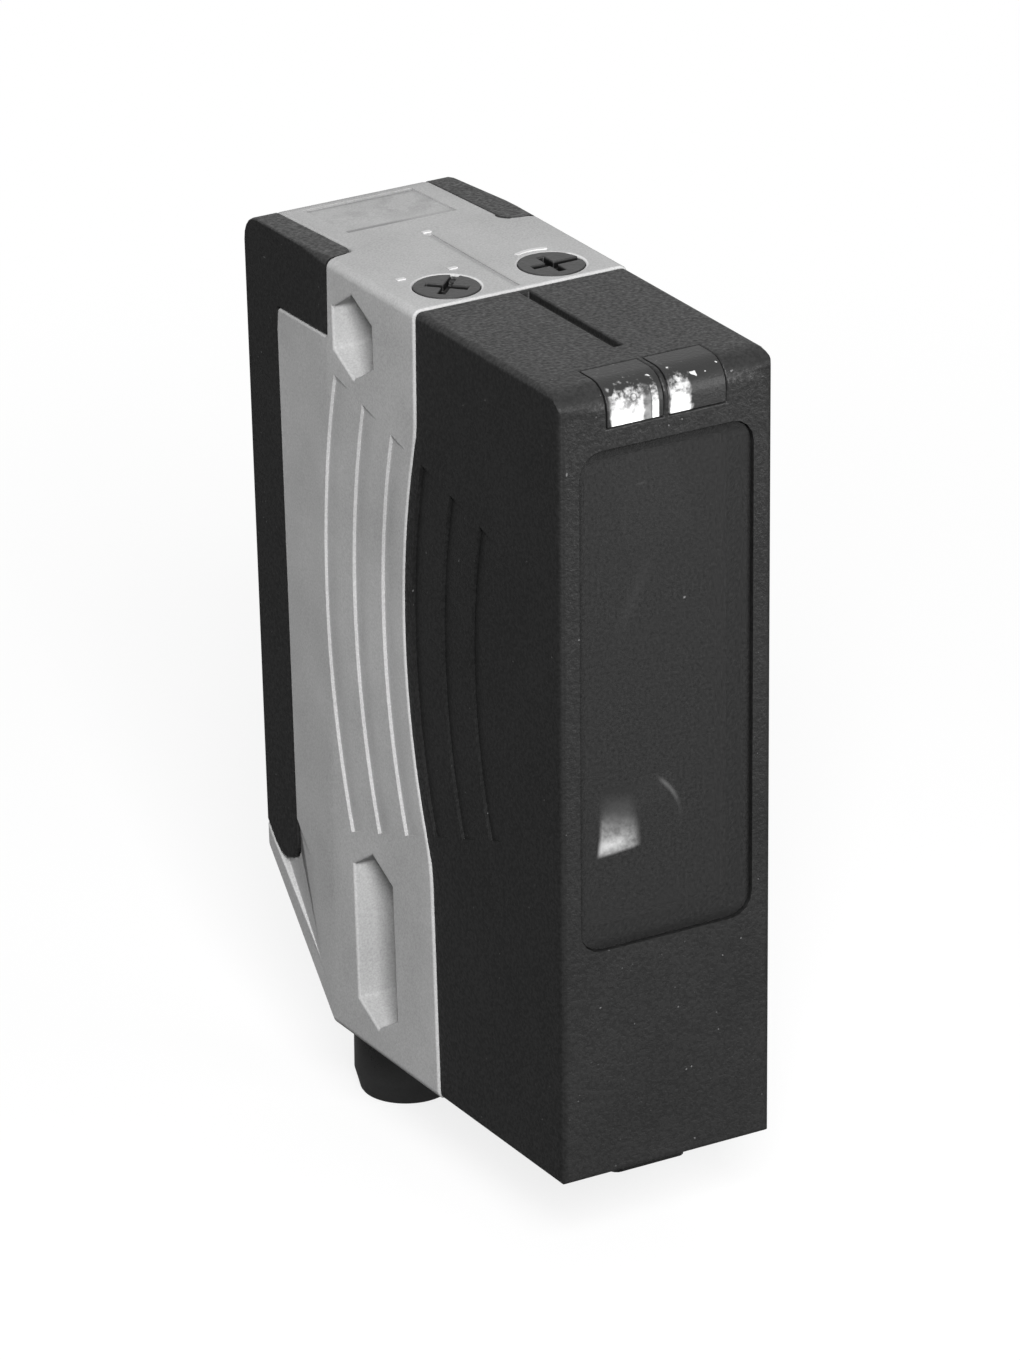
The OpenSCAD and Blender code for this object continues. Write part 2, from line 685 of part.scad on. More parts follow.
module front_housing() color(FRONT_BLACK) placed() difference() {
    union() {
        difference() {
            intersection() {
                front_block();
                front_zone(0);
            }
            block([-front_half_w + wall, front_half_w - wall], [front_wall, housing_d],
                [frame_step + wall, front_top_z - wall]);
        }
        intersection() {
            at_posts() post(post_y0, housing_d, post_d);
            front_zone(0);
        }
        foot();
    }
    // Rebate for the tongue and its gasket
    intersection() {
        ring_tube(wall - tongue_t - fit, wall + past);
        parting_band(-tongue_len - gasket_t, past);
    }
    // Recess and opening for the front window
    along(-past, window_back_y) rounded_box(-window_w / 2 - fit, window_w / 2 + fit,
        window_z - window_h / 2 - fit, window_z + window_h / 2 + fit, window_r);
    along(-past, front_wall + past) rounded_box(-window_hole_w / 2, window_hole_w / 2,
        window_z - window_hole_h / 2, window_z + window_hole_h / 2, window_r / 2);
    // Pockets for the two indicator windows, with the rib left between them
    both_sides() block([indicator_rib / 2, indicator_w / 2 + fit], [-past, indicator_d + fit],
        [indicator_z0 - fit, housing_h + past]);
    both_sides() block([indicator_rib / 2, guide_x1 + fit], [-past, indicator_d + front_wall],
        [indicator_z0 - fit, front_top_z - wall]);
    grips(-grip_count, front_half_w);
    block([-sight_w / 2, sight_w / 2], [sight_y0, part_top_y - sight_gap],
        [front_top_z - sight_depth, housing_h + past]);
    at_posts() post(post_y0 + past, housing_d, pilot_d);
}
// Shallow foot under the front, its ends drafted
module foot() intersection() {
    translate([0, 0, -foot_drop]) linear_extrude(foot_drop + frame_step + wall / 2)
        rounded_box(-foot_w / 2, foot_w / 2, foot_y0, foot_y1, foot_r);
    across(foot_w) polygon([[foot_y0, wall], [foot_y0 + foot_drop / 4, -foot_drop],
        [foot_y1 - foot_drop / 4, -foot_drop], [foot_y1, wall]]);
}

module rear_cover() color(FRONT_BLACK) placed() difference() {
    intersection() {
        frame_block(0);
        across(housing_w) polygon(cover_outline);
    }
    frame_block(wall);
    top_centre(0, fit);
    at_posts() post(draft_y, housing_d, case_screw_d + 2 * fit);
    at_heads() rod_y(0, 0, -case_head_h, 2 * past, case_head_d + 2 * fit);
}
// The screw heads sit in the back of the cover, whose face leans
function head_y(z) = rear_y(z) - head_sink;
module at_heads() for (x = [-post_x, post_x], z = [post_low_z, post_high_z])
    translate([x, head_y(z), z]) children();

module case_screws() color(STEEL) placed() for (z = [post_low_z, post_high_z], x = [-post_x, post_x])
    difference() {
        union() {
            rod_y(x, z, screw_y0, head_y(z) - case_head_h, pilot_d);
            rod_y(x, z, head_y(z) - case_head_h, head_y(z), case_head_d);
        }
        translate([x, head_y(z), z]) for (a = [0, 90]) rotate([0, a, 0]) cube(head_cross, center = true);
    }

module front_gasket() color(RUBBER) placed() intersection() {
    ring_tube(wall - tongue_t, wall);
    parting_band(-tongue_len - gasket_t, -tongue_len);
}
module rear_gasket() color(RUBBER) placed() difference() {
    intersection() {
        frame_block(wall);
        across(housing_w) difference() {
            polygon([[draft_y, 0], [inner_rear_y(0), 0], [inner_rear_y(housing_h), housing_h],
                [draft_y, housing_h]]);
            in_front_of_gasket();
        }
        union() {
            difference() {
                block([-half_w, half_w], [draft_y, housing_d], [0, housing_h]);
                rim_core();
            }
            at_posts() post(draft_y, housing_d, post_d);
        }
    }
    at_posts() post(draft_y, housing_d, case_screw_d + 2 * fit);
}

module front_window() color("#3a2a2c") placed() along(window_recess, window_back_y)
    rounded_box(-window_w / 2, window_w / 2, window_z - window_h / 2, window_z + window_h / 2, window_r);

module indicator_lens() intersection() {
    front_block();
    block([indicator_rib / 2 + fit, indicator_w / 2], [0, indicator_d], [indicator_z0, housing_h]);
}
module power_window() color(LENS_CLEAR) placed() mirror([1, 0, 0]) indicator_lens();
module switching_window() color(LENS_CLEAR) placed() indicator_lens();
module light_guides() color("#e8ecee") placed() both_sides()
    block([indicator_rib / 2 + fit, guide_x1], [indicator_d, guide_y1], [holder_z1, guide_z1]);

module lens_holder() color("#1c1c1e") placed() difference() {
    union() {
        block([-holder_w / 2, holder_w / 2], [holder_y0, holder_front_y], [holder_z0, holder_z1]);
        block([-funnel_w / 2 - holder_wall, funnel_w / 2 + holder_wall], [holder_y0, holder_y1],
            [holder_z0, holder_z1]);
    }
    channel(emitter_z, emitter_lens_h);
    channel(receiver_z, receiver_lens_h);
}
// A light channel: the lens pocket, the seat behind it, the funnel and the hole for the LED or detector
module channel(z, h) {
    stepped_block(lens_w / 2 + fit, h / 2, z, lens_seat_y + lens_rim);
    stepped_block(lens_w / 2 - seat_step, h / 2 - seat_step, z, holder_front_y - holder_wall);
    stepped_block(funnel_w / 2, h / 2 - 1.5 * seat_step, z, holder_y1 - rear_wall_t);
    rod_y(0, z, 0, holder_y1 + past, emitter_led_d + 4 * fit);
}
module stepped_block(half_x, half_z, z, y1) block([-half_x, half_x], [0, y1], [z - half_z, z + half_z]);
module lens(z, h, r) intersection() {
    block([-lens_w / 2, lens_w / 2], [0, lens_seat_y + lens_rim], [z - h / 2 + fit, z + h / 2 - fit]);
    translate([0, holder_y0 + lens_front_gap + r, z]) sphere(r, $fn = 120);
}
module emitter_lens() color(LENS_CLEAR) placed() lens(emitter_z, emitter_lens_h, emitter_lens_r);
module receiver_lens() color(LENS_CLEAR) placed() lens(receiver_z, receiver_lens_h, receiver_lens_r);
module emitter_led() color("#d8dde2") placed() {
    dome_y = holder_y1 - emitter_base_t - emitter_dome_d / 3;
    rod_y(0, emitter_z, holder_y1 - emitter_base_t, holder_y1, emitter_led_d);
    rod_y(0, emitter_z, dome_y, holder_y1 - emitter_base_t, emitter_dome_d);
    translate([0, dome_y, emitter_z]) sphere(d = emitter_dome_d);
}
module receiver_photodiode() color("#26262b") placed()
    block([-detector[0] / 2, detector[0] / 2], [holder_y1 - detector[1], holder_y1],
        [receiver_z - detector[2] / 2, receiver_z + detector[2] / 2]);
module indicator_led() {
    led = indicator_led_size;
    translate([(guide_x1 - led[0]) / 2, holder_y1 - led[1], (holder_z1 + guide_z1 - led[2]) / 2]) cube(led);
}
module power_led() color("#7fe08a") placed() mirror([1, 0, 0]) indicator_led();
module switching_led() color("#f2c744") placed() indicator_led();

module optics_board() color(BOARD_GREEN) placed()
    block([-optics_board_w / 2, optics_board_w / 2], [holder_y1, optics_board_y1], [holder_z0, guide_z1]);
module main_board() color(BOARD_GREEN) placed() {
    x = [main_board_x, main_board_x + board_t];
    block(x, main_board_y, main_board_z);
    block(x, [main_board_y[0], pot_y1], [main_board_z[1] - past, adjuster_board_z0]);
}
module board_link() color("#1e1e20") placed() difference() {
    block([main_board_x - link_wall, main_board_x + board_t + fit],
        [optics_board_y1, main_board_y[0] + link_wall], [part_mid_z - link_h / 2, part_mid_z + link_h / 2]);
    block([main_board_x, main_board_x + board_t + past], main_board_y, main_board_z);
}
module controller_chip() color("#19191b") placed()
    translate([main_board_x - chip[0], chip_corner[0], chip_corner[1]]) cube(chip);
module board_plug() color("#e6e2d4") placed()
    translate([main_board_x - plug_block[0], leads_top_y - plug_block[1] / 2, plug_block_z0])
        cube(plug_block);

// Leads: along the outlet's axis, round one bend and straight up into the board plug
outlet_in = [-1, 1] / sqrt(2);
lead_start = [outlet_c[1], outlet_c[2]] + neck_len * outlet_in;
lead_centre = lead_start + lead_straight * outlet_in + lead_bend_r * [1, 1] / sqrt(2);
leads_top_y = lead_centre[0] - lead_bend_r;
module connector_leads() color("#3b3b3f") placed() {
    outlet() translate([0, 0, -neck_len - lead_straight])
        cylinder(h = neck_len + lead_straight + elbow_back, d = leads_d);
    translate([0, lead_centre[0], lead_centre[1]]) rotate([90, 0, 90])
        rotate_extrude(angle = 45 + 2 * bend_lap, start = 180 - bend_lap)
            translate([lead_bend_r, 0]) circle(d = leads_d - bend_slim);
    rod_z(0, leads_top_y, lead_centre[1], plug_block_z0, leads_d);
}

module adjuster_board() color(BOARD_GREEN) placed()
    block([-adjuster_board_w / 2, adjuster_board_w / 2], [adjuster_board_y0, pot_y1],
        [adjuster_board_z0, adjuster_board_z0 + board_t]);
module trimmer(x) difference() {
    translate([x - pot[0] / 2, pot_y1 - pot[1], pot_z1 - pot[2]]) cube(pot);
    rod_z(x, adjuster_y, pot_z1 - drive_d, pot_z1 + past, drive_d + 2 * turn_fit);
}
module sensitivity_potentiometer() color("#2f4f9a") placed() trimmer(-adjuster_pitch / 2);
module mode_switch() color("#33343a") placed() trimmer(adjuster_pitch / 2);

// A turning head with a driver cross and a pointer, a ring groove, and a split stem with a snap barb
module adjuster(x, pointer) translate([x, adjuster_y, 0]) difference() {
    union() {
        rod_z(0, 0, head_z0 + turn_fit, housing_h, adjuster_d);
        rod_z(0, 0, stem_z0 - barb_h, housing_h - past, stem_d);
        translate([0, 0, stem_z0 - barb_h])
            cylinder(h = barb_h - turn_fit, d1 = stem_d, d2 = stem_d + 2 * barb_w);
        rod_z(0, 0, pot_z1 - drive_d + 2 * fit, stem_z0, drive_d);
    }
    rotate_extrude() translate([adjuster_d / 2 - seal_t, head_z0 + groove_z])
        square([seal_t + past, seal_t + groove_play]);
    translate([0, 0, housing_h]) rotate(pointer) {
        for (a = [0, 90]) rotate(a) 
            cube([adjuster_d - 2 * cross_margin, driver_slot, 2 * driver_slot], center = true);
        translate([adjuster_d / 2 - cross_margin, -pointer_w / 2, -pointer_w / 2])
            cube([cross_margin + past, pointer_w, past]);
    }
    translate([0, 0, stem_z0 - slit_h / 2])
        cube([barb_slit, stem_d + 2 * past, slit_h - 2 * turn_fit], center = true);
}
module seal_ring(d, z0) translate([0, 0, z0 + groove_z + groove_play / 2]) rotate_extrude()
    translate([d / 2 - seal_t, 0]) square([seal_t + turn_fit / 2, seal_t]);
module sensitivity_adjuster() color(FRONT_BLACK) placed() adjuster(-adjuster_pitch / 2, 45);
module light_dark_selector() color(FRONT_BLACK) placed() adjuster(adjuster_pitch / 2, 0);
module adjuster_seal() color(RUBBER) placed()
    translate([-adjuster_pitch / 2, adjuster_y, 0]) seal_ring(adjuster_d, head_z0);
module selector_seal() color(RUBBER) placed()
    translate([adjuster_pitch / 2, adjuster_y, 0]) seal_ring(adjuster_d, head_z0);

// Plug turret: a flange and neck on the 45 degree axis, and the plug pointing down
module connector_turret() color(FRONT_BLACK) placed() difference() {
    union() {
        outlet() translate([0, 0, turn_fit]) cylinder(h = flange_t, d = flange_d);
        outlet() translate([0, 0, -neck_len]) cylinder(h = neck_len + flange_t, d = neck_d);
        intersection() {
            union() {
                rod_z(0, plug_y, -shoulder_drop, outlet_c[2] + elbow_d, elbow_d);
                rod_z(0, plug_y, plug_lead - plug_drop, -shoulder_drop, plug_d);
                translate([0, plug_y, -plug_drop])
                    cylinder(h = plug_lead, d1 = plug_d - 2 * lead_taper, d2 = plug_d);
            }
            beyond_outlet(turn_fit + flange_t / 2);
        }
    }
    outlet() {
        translate([0, 0, turn_fit - outlet_wall]) rotate_extrude()
            translate([neck_d / 2 - seal_t, groove_z]) square([seal_t + past, seal_t + groove_play]);
        translate([0, 0, -neck_len - past]) cylinder(h = neck_len + past + 2 * elbow_back, d = neck_bore);
        translate([0, 0, -outlet_wall - turn_fit - ring_t]) rotate_extrude()
            translate([neck_d / 2 - ring_groove, 0]) square([ring_groove + past, ring_t]);
    }
    plug_core(-plug_drop - past);
}
// The bore of the plug, cut off square to the turret's axis at its upper end
module plug_core(z0) intersection() {
    rod_z(0, plug_y, z0, outlet_c[2] + plug_d, socket_d);
    beyond_outlet(elbow_back);
}
module beyond_outlet(z) outlet() translate([0, 0, z]) cylinder(h = housing_d, d = housing_d);
module turret_seal() color(RUBBER) placed() outlet() seal_ring(neck_d, turn_fit - outlet_wall);
module turret_ring() color(STEEL) placed() outlet() translate([0, 0, -outlet_wall - turn_fit - ring_t])
    difference() {
        cylinder(h = ring_t, d = neck_d + 2 * ring_w);
        translate([0, 0, -past]) cylinder(h = ring_t + 2 * past, d = neck_d - 2 * ring_groove);
        translate([-ring_slot / 2, 0, -past]) cube([ring_slot, neck_d, ring_t + 2 * past]);
    }
module contact_carrier() color("#26262a") placed() difference() {
    plug_core(carrier_z0);
    at_pins() rod_z(0, 0, carrier_z0 - past, outlet_c[2] + plug_d, pin_d);
}
module at_pins() for (a = [45:90:315])
    translate([pin_circle_r * cos(a), plug_y + pin_circle_r * sin(a), 0]) children();
module contact_pins() color(BRASS) placed() at_pins()
    rod_z(0, 0, pin_set_back - plug_drop, carrier_z0 + pin_hold, pin_d);

middle_frame();
front_housing();
rear_cover();
front_window();
power_window();
switching_window();
light_guides();
lens_holder();
emitter_lens();
receiver_lens();
emitter_led();
receiver_photodiode();
power_led();
switching_led();
optics_board();
main_board();
board_link();
controller_chip();
board_plug();
connector_leads();
adjuster_board();
sensitivity_potentiometer();
mode_switch();
sensitivity_adjuster();
adjuster_seal();
light_dark_selector();
selector_seal();
front_gasket();
rear_gasket();
case_screws();
connector_turret();
turret_seal();
turret_ring();
contact_carrier();
contact_pins();
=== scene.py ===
# %% [markdown]
# # A diffuse photoelectric sensor
#
# The sensor is a hand-sized block made of three plastic shells: a black front that carries the
# optics, a light grey middle and a black rear cover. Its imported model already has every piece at
# its real size and place. This lesson gives each piece the surface that makes it look moulded,
# turned or polished: rounded edges, plastic grain, a dark filter window and a soft studio light.
# Places and sizes in the masks are in millimetres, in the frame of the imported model: its origin is
# in the upper mounting hole, -Y is the way the sensor looks, and Z is up.

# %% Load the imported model
import json
import math

import bmesh
import bpy
from mathutils import Matrix, Vector
from mathutils.bvhtree import BVHTree
from mathutils.kdtree import KDTree


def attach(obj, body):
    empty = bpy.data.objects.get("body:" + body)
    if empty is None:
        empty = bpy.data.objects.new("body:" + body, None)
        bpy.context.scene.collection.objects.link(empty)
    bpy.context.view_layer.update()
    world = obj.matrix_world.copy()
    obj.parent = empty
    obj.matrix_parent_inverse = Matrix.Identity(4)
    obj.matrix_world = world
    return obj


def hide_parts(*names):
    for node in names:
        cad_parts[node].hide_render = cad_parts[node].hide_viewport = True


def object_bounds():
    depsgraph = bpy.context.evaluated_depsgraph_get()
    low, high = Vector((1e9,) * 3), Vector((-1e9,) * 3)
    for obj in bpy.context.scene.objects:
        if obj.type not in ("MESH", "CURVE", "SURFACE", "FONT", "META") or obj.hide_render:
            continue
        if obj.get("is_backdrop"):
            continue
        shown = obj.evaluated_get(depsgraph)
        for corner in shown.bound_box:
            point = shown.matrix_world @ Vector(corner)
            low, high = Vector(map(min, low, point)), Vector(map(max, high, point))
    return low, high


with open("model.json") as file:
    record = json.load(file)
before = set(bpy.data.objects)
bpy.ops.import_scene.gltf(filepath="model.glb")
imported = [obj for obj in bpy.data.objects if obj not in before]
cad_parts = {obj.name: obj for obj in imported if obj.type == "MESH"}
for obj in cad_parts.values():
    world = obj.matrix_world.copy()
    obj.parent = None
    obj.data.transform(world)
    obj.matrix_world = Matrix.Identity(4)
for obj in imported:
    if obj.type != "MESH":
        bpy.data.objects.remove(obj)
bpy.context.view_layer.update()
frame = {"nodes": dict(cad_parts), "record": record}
MM = 0.001
BODY_OF = {name: body for body, names in frame["record"]["behaviour"]["bodies"].items() for name in names}
SLOT_OF = {part["node"]: part["material_slot"] for part in frame["record"]["subparts"]}
print("pieces in the packed model:", len(frame["nodes"]))

# %% [markdown]
# ## The camera
#
# The sensor is seen from the front left and a little above, through a long lens that keeps upright
# edges almost parallel. The camera stands on a sphere around an aim point, given by two angles and
# a distance, and is rolled by a fraction of a degree. A small shift puts the sensor where it is in
# the picture without turning the camera.

# %% Place the camera
AIM = Vector((0, -11, -37)) * MM
AZIMUTH, ELEVATION, ROLL = (math.radians(d) for d in (-30.78, 23.07, -0.41))
CAMERA_DISTANCE = 928.5 * MM
PICTURE_H = 1360
FOCAL_PX = 8856.9
SHIFT_PX = (-5.95, -3.7)
SENSOR_MM = 36

back = Vector((math.sin(AZIMUTH) * math.cos(ELEVATION), -math.cos(AZIMUTH) * math.cos(ELEVATION),
               math.sin(ELEVATION)))
level_right = Vector((math.cos(AZIMUTH), math.sin(AZIMUTH), 0))
level_up = back.cross(level_right)
right = math.cos(ROLL) * level_right + math.sin(ROLL) * level_up
up = math.cos(ROLL) * level_up - math.sin(ROLL) * level_right

lens = bpy.data.cameras.new("camera")
lens.sensor_width = SENSOR_MM
lens.lens = FOCAL_PX * SENSOR_MM / PICTURE_H
lens.shift_x, lens.shift_y = (px / PICTURE_H for px in SHIFT_PX)
lens.clip_start, lens.clip_end = 0.05, 20
camera = bpy.data.objects.new("camera", lens)
bpy.context.collection.objects.link(camera)
camera.matrix_world = (Matrix.Translation(AIM + back * CAMERA_DISTANCE)
                       @ Matrix((right, up, back)).transposed().to_4x4())
bpy.context.scene.camera = camera
print("lens:", round(lens.lens, 1), "mm")

# %% [markdown]
# ## Shader maths as plain sums
#
# A material in Blender is a graph of nodes. To write it as readable sums, one small class stands
# for a socket and turns `+`, `-` and `*` into Math nodes. A second one stands for the material: it
# adds any node from its type, its settings and its inputs.

# %% Two helpers for building materials


class Wire:
    """An output socket. Sums with it add Math nodes to its material."""

    def __init__(self, finish, socket):
        self.finish, self.socket = finish, socket

    def _math(self, operation, *values):
        return self.finish.node("ShaderNodeMath", {"operation": operation}, dict(enumerate(values)))

    def __add__(self, other):
        return self._math("ADD", self, other)

    def __sub__(self, other):
        return self._math("SUBTRACT", self, other)

    def __rsub__(self, other):
        return self._math("SUBTRACT", other, self)

    def __mul__(self, other):
        return self._math("MULTIPLY", self, other)

    __radd__, __rmul__ = __add__, __mul__

    def larger(self, other):
        return self._math("MAXIMUM", self, other)

    def step(self, low, high):
        """0 up to low, 1 from high on, and a smooth step in between."""
        return self.finish.node("ShaderNodeMapRange", {"interpolation_type": "SMOOTHSTEP"},
                                {"Value": self, "From Min": low, "From Max": high}, "Result")

    def within(self, low, high, soft):
        """1 between low and high and 0 outside, with soft ends."""
        return self.step(low - soft, low + soft) * (1 - self.step(high - soft, high + soft))


class Finish:
    """A material under construction, with one Principled surface."""

    def __init__(self, name, **surface):
        self.material = bpy.data.materials.new(name)
        self.material.use_nodes = True
        self.tree = self.material.node_tree
        self.tree.nodes.clear()
        output = self.tree.nodes.new("ShaderNodeOutputMaterial")
        self.place = self.node("ShaderNodeTexCoord", out="Object")
        self.surface = self.node("ShaderNodeBsdfPrincipled")
        self.end = output.inputs["Surface"]
        self.feed(self.end, self.surface)
        self.set(**surface)

    def node(self, kind, settings=None, sockets=None, out=0):
        """Adds a node: first its settings, then values or links for its sockets."""
        new = self.tree.nodes.new(kind)
        for key, value in (settings or {}).items():
            setattr(new, key, value)
        for key, value in (sockets or {}).items():
            self.feed(new.inputs[key], value)
        return Wire(self, new.outputs[out])

    def feed(self, socket, value):
        if isinstance(value, Wire):
            self.tree.links.new(value.socket, socket)
        else:
            socket.default_value = value

    def set(self, **values):
        """Values or links for sockets of the surface. Underscores stand for spaces."""
        for key, value in values.items():
            self.feed(self.surface.socket.node.inputs[key.replace("_", " ")], value)

    def axes(self):
        """The place on the piece in millimetres, one wire for each axis."""
        split = self.node("ShaderNodeSeparateXYZ", {}, {0: self.place}).socket.node
        return [Wire(self, out) * (1 / MM) for out in split.outputs]

    def grain(self, size, detail=2.0, roughness=0.5):
        """Noise from 0 to 1 whose lumps are about `size` metres wide."""
        return self.node("ShaderNodeTexNoise", {}, {"Vector": self.place, "Scale": 1 / size,
                                                    "Detail": detail, "Roughness": roughness}, "Fac")

    def distance(self, across, along, centre):
        """How far a place, given by two wires in millimetres, is from a centre."""
        flat = self.node("ShaderNodeCombineXYZ", {}, {0: across, 1: along})
        return self.node("ShaderNodeVectorMath", {"operation": "DISTANCE"},
                         {0: flat, 1: (*centre, 0)}, "Value")

    def mix(self, factor, first, second):
        """A colour between two colours."""
        return self.node("ShaderNodeMix", {"data_type": "RGBA", "clamp_factor": True},
                         {0: factor, 6: first, 7: second}, 2)

    def bumps(self, *layers):
        """Stacks bumps, each given as (height from 0 to 1, depth in metres, strength)."""
        normal = None
        for height, depth, strength in layers:
            sockets = {"Height": height, "Distance": depth, "Strength": strength}
            if normal:
                sockets["Normal"] = normal
            normal = self.node("ShaderNodeBump", {}, sockets)
        self.set(Normal=normal)


def grey(value):
    """A neutral colour."""
    return (value, value, value, 1)


def dress(thing, material):
    """Gives a piece one material in place of those it has."""
    thing.data.materials.clear()
    thing.data.materials.append(material)


# %% [markdown]
# ## Moulded plastic
#
# Spark-eroded moulds leave a fine, even grain in plastic. On the black shells it shows as a fine
# sparkle where light grazes them, on the grey shell as a soft satin. Layers of noise do it: the
# grain itself, a coarser orange peel, slow changes of tone and roughness from handling, and a few
# bright specks of dust. A low specular level keeps the grained faces deep and matt.

# %% Finishes of the shells


def moulded(name, shade, roughness, specular, grain_size, grain_depth, dust, contrast=1.0):
    """A grained plastic and the wire of its tone. The grain's size and depth are in metres."""
    finish = Finish(name)
    grain = finish.grain(grain_size, 2.5, 0.6)
    peel = finish.grain(9 * grain_size, 1.0)
    handling = finish.grain(9 * MM, 3.0)
    fleck = finish.grain(0.4 * MM, 0.0).step(0.86, 0.9) * dust
    tone = finish.mix((grain - 0.5) * (0.9 * contrast) + (handling - 0.5) * 0.5 + 0.5,
                      grey(shade * 0.6), grey(shade * 1.4))
    finish.set(Base_Color=finish.mix(fleck, tone, grey(0.5)), Specular_IOR_Level=specular,
               Roughness=roughness + (handling - 0.5) * 0.14 - (grain - 0.5) * (0.12 * contrast))
    finish.bumps((peel, 0.02 * MM, 0.3), (grain, grain_depth, 0.6))
    return finish, tone


black_plastic = moulded("black_plastic", 0.0105, 0.48, 0.25, 0.42 * MM, 0.11 * MM, 0.2, 6.0)[0].material
plug_plastic = moulded("plug_plastic", 0.026, 0.3, 0.5, 0.3 * MM, 0.01 * MM, 0.0)[0].material
knob_finish, knob_tone = moulded("knob_plastic", 0.02, 0.45, 0.3, 0.45 * MM, 0.07 * MM, 0.0)
SLOT_TOP_Z = (6.7, 6.9)
# Painted shade: below the top of the slots the adjusters are painted near black.
outside_painted_slot_shade = knob_finish.axes()[2].step(*SLOT_TOP_Z)
knob_finish.set(Base_Color=knob_finish.mix(outside_painted_slot_shade, grey(0.001), knob_tone))
knob_plastic = knob_finish.material
print("finish:", black_plastic.name)

# %% [markdown]
# The grey shell gets more. The raised marks around the adjusters are painted lighter than the top
# they stand on, a painted highlight for the light that their edges catch. The shallow recess for a
# label has a blotchy floor with dark ends, which are painted shade: a painted shadow of the front
# rim and painted shade over the rear wall. The sighting line is a painted soft shadow, and each
# adjuster sits in a bore painted dark as shade, with a painted highlight on its rim. All are masks
# made from the place in millimetres, so they stay on their features from every side.

# %% The grey shell
TOP_Z = 7.0
DRAFT_Y, TOP_LEAN = 5.5, 0.0454
LABEL_Y = (11.5, 21.0)
LABEL_HALF_W = 6.6
SIGHT_Y = (-11.9, 6.1)
SIGHT_HALF_W = 0.35
KNOB_X, KNOB_Y = 6.3, -8.2
BORE_R = 3.55
grey_finish, grey_tone = moulded("grey_plastic", 0.365, 0.55, 0.25, 0.22 * MM, 0.014 * MM, 0.0)
x, y, z = grey_finish.axes()
blotch = grey_finish.grain(3.2 * MM, 3.0, 0.6)
level = z + (y - DRAFT_Y).larger(0) * TOP_LEAN
in_recess = (x.within(-LABEL_HALF_W, LABEL_HALF_W, 0.05)
             * y.within(LABEL_Y[0] - 0.05, LABEL_Y[1] + 0.1, 0.03)
             * level.within(TOP_Z - 0.4, TOP_Z - 0.03, 0.02))
# Painted shadow of the front rim on the recess floor.
painted_front_shadow = (1 - y.step(LABEL_Y[0] + 1.0, LABEL_Y[0] + 1.6)) * (1 - x.step(-2.0, 4.0) * 0.6) * 0.6
# Painted shade over the rear wall, which the lamp would light.
painted_rear_shade = y.step(LABEL_Y[1] - 0.8, LABEL_Y[1]) * 0.5
blotches = blotch.step(0.42, 0.64) * (y.step(11, 17) * 0.14 + 0.08)
# The floor's own blotches, and the painted shade at its two ends.
blotches_and_painted_shade = in_recess * blotches.larger(painted_front_shadow).larger(painted_rear_shade)
# Painted soft shadow along the sighting line.
painted_sight_shadow = (x.within(-SIGHT_HALF_W, SIGHT_HALF_W, 0.3) * y.within(*SIGHT_Y, 0.3)
         * z.step(TOP_Z - 0.3, TOP_Z - 0.2) * 0.25)
tone = grey_finish.mix(blotches_and_painted_shade.larger(painted_sight_shadow), grey_tone, grey(0.1))
# Painted highlight: the raised marks are painted lighter than the top.
tone = grey_finish.mix(level.step(TOP_Z + 0.03, TOP_Z + 0.09), tone, grey(0.54))
from_knob = grey_finish.distance(x.larger(-1 * x), y, (KNOB_X, KNOB_Y))
# Painted highlight on the bore's rim, brightest on its front side.
painted_rim_highlight = (from_knob.within(BORE_R, BORE_R + 0.25, 0.08) * z.step(TOP_Z - 0.2, TOP_Z - 0.1)
       * (0.8 - (y - KNOB_Y).step(-1.5, 2.5) * 0.6))
tone = grey_finish.mix(painted_rim_highlight, tone, grey(0.7))
# Painted shade down in the bores round the adjusters.
painted_bore_shade = (1 - from_knob.step(BORE_R - 0.02, BORE_R + 0.04)) * (1 - z.step(TOP_Z - 0.06, TOP_Z - 0.02))
grey_finish.set(Base_Color=grey_finish.mix(painted_bore_shade, tone, grey(0.02)))
grey_plastic = grey_finish.material
print("finish:", grey_plastic.name)

# %% [markdown]
# ## Rounded edges
#
# No moulded edge is sharp: each has a small radius that catches the light as a fine line, and the
# eye reads the object's size from it. A Bevel modifier could round a copy of each shell, but a
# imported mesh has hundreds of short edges, and a bevel that is wider than one of them folds over.
# So the bevel is made in a loop: round all sharp edges, look for folds, leave the corners that
# caused them sharp, and try again.

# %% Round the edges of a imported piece
SHARP = math.radians(24)
SMOOTH = math.radians(50)
FLAT = math.radians(0.3)
MERGE = 0.002 * MM
TRIES = 12
STRAY, TURNED, NEAR = 0.6, -0.1, 2.2  # shares of the radius or of a triangle's normal
NO_AREA = 1e-12


def merged_copy(node):
    """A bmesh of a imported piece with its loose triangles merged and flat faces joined."""
    shape = bmesh.new()
    shape.from_mesh(frame["nodes"][node].data)
    bmesh.ops.remove_doubles(shape, verts=shape.verts, dist=MERGE)
    bmesh.ops.dissolve_limit(shape, angle_limit=FLAT, verts=shape.verts, edges=shape.edges)
    return shape


def folds(shape, surface, radius):
    """The places where a bevelled shape strays from the surface it came from, or is turned over."""
    found = []
    for vert in shape.verts:
        if surface.find_nearest(vert.co)[3] > STRAY * radius:
            found += [edge.other_vert(vert).co.copy() for edge in vert.link_edges] + [vert.co.copy()]
    for corners in shape.calc_loop_triangles():
        a, b, c = (loop.vert.co for loop in corners)
        turn = (b - a).cross(c - a)
        normal = surface.find_nearest((a + b + c) / 3)[1]
        if turn.length > NO_AREA and turn.dot(normal) < TURNED * turn.length:
            found += [a.copy(), b.copy(), c.copy()]
    return found


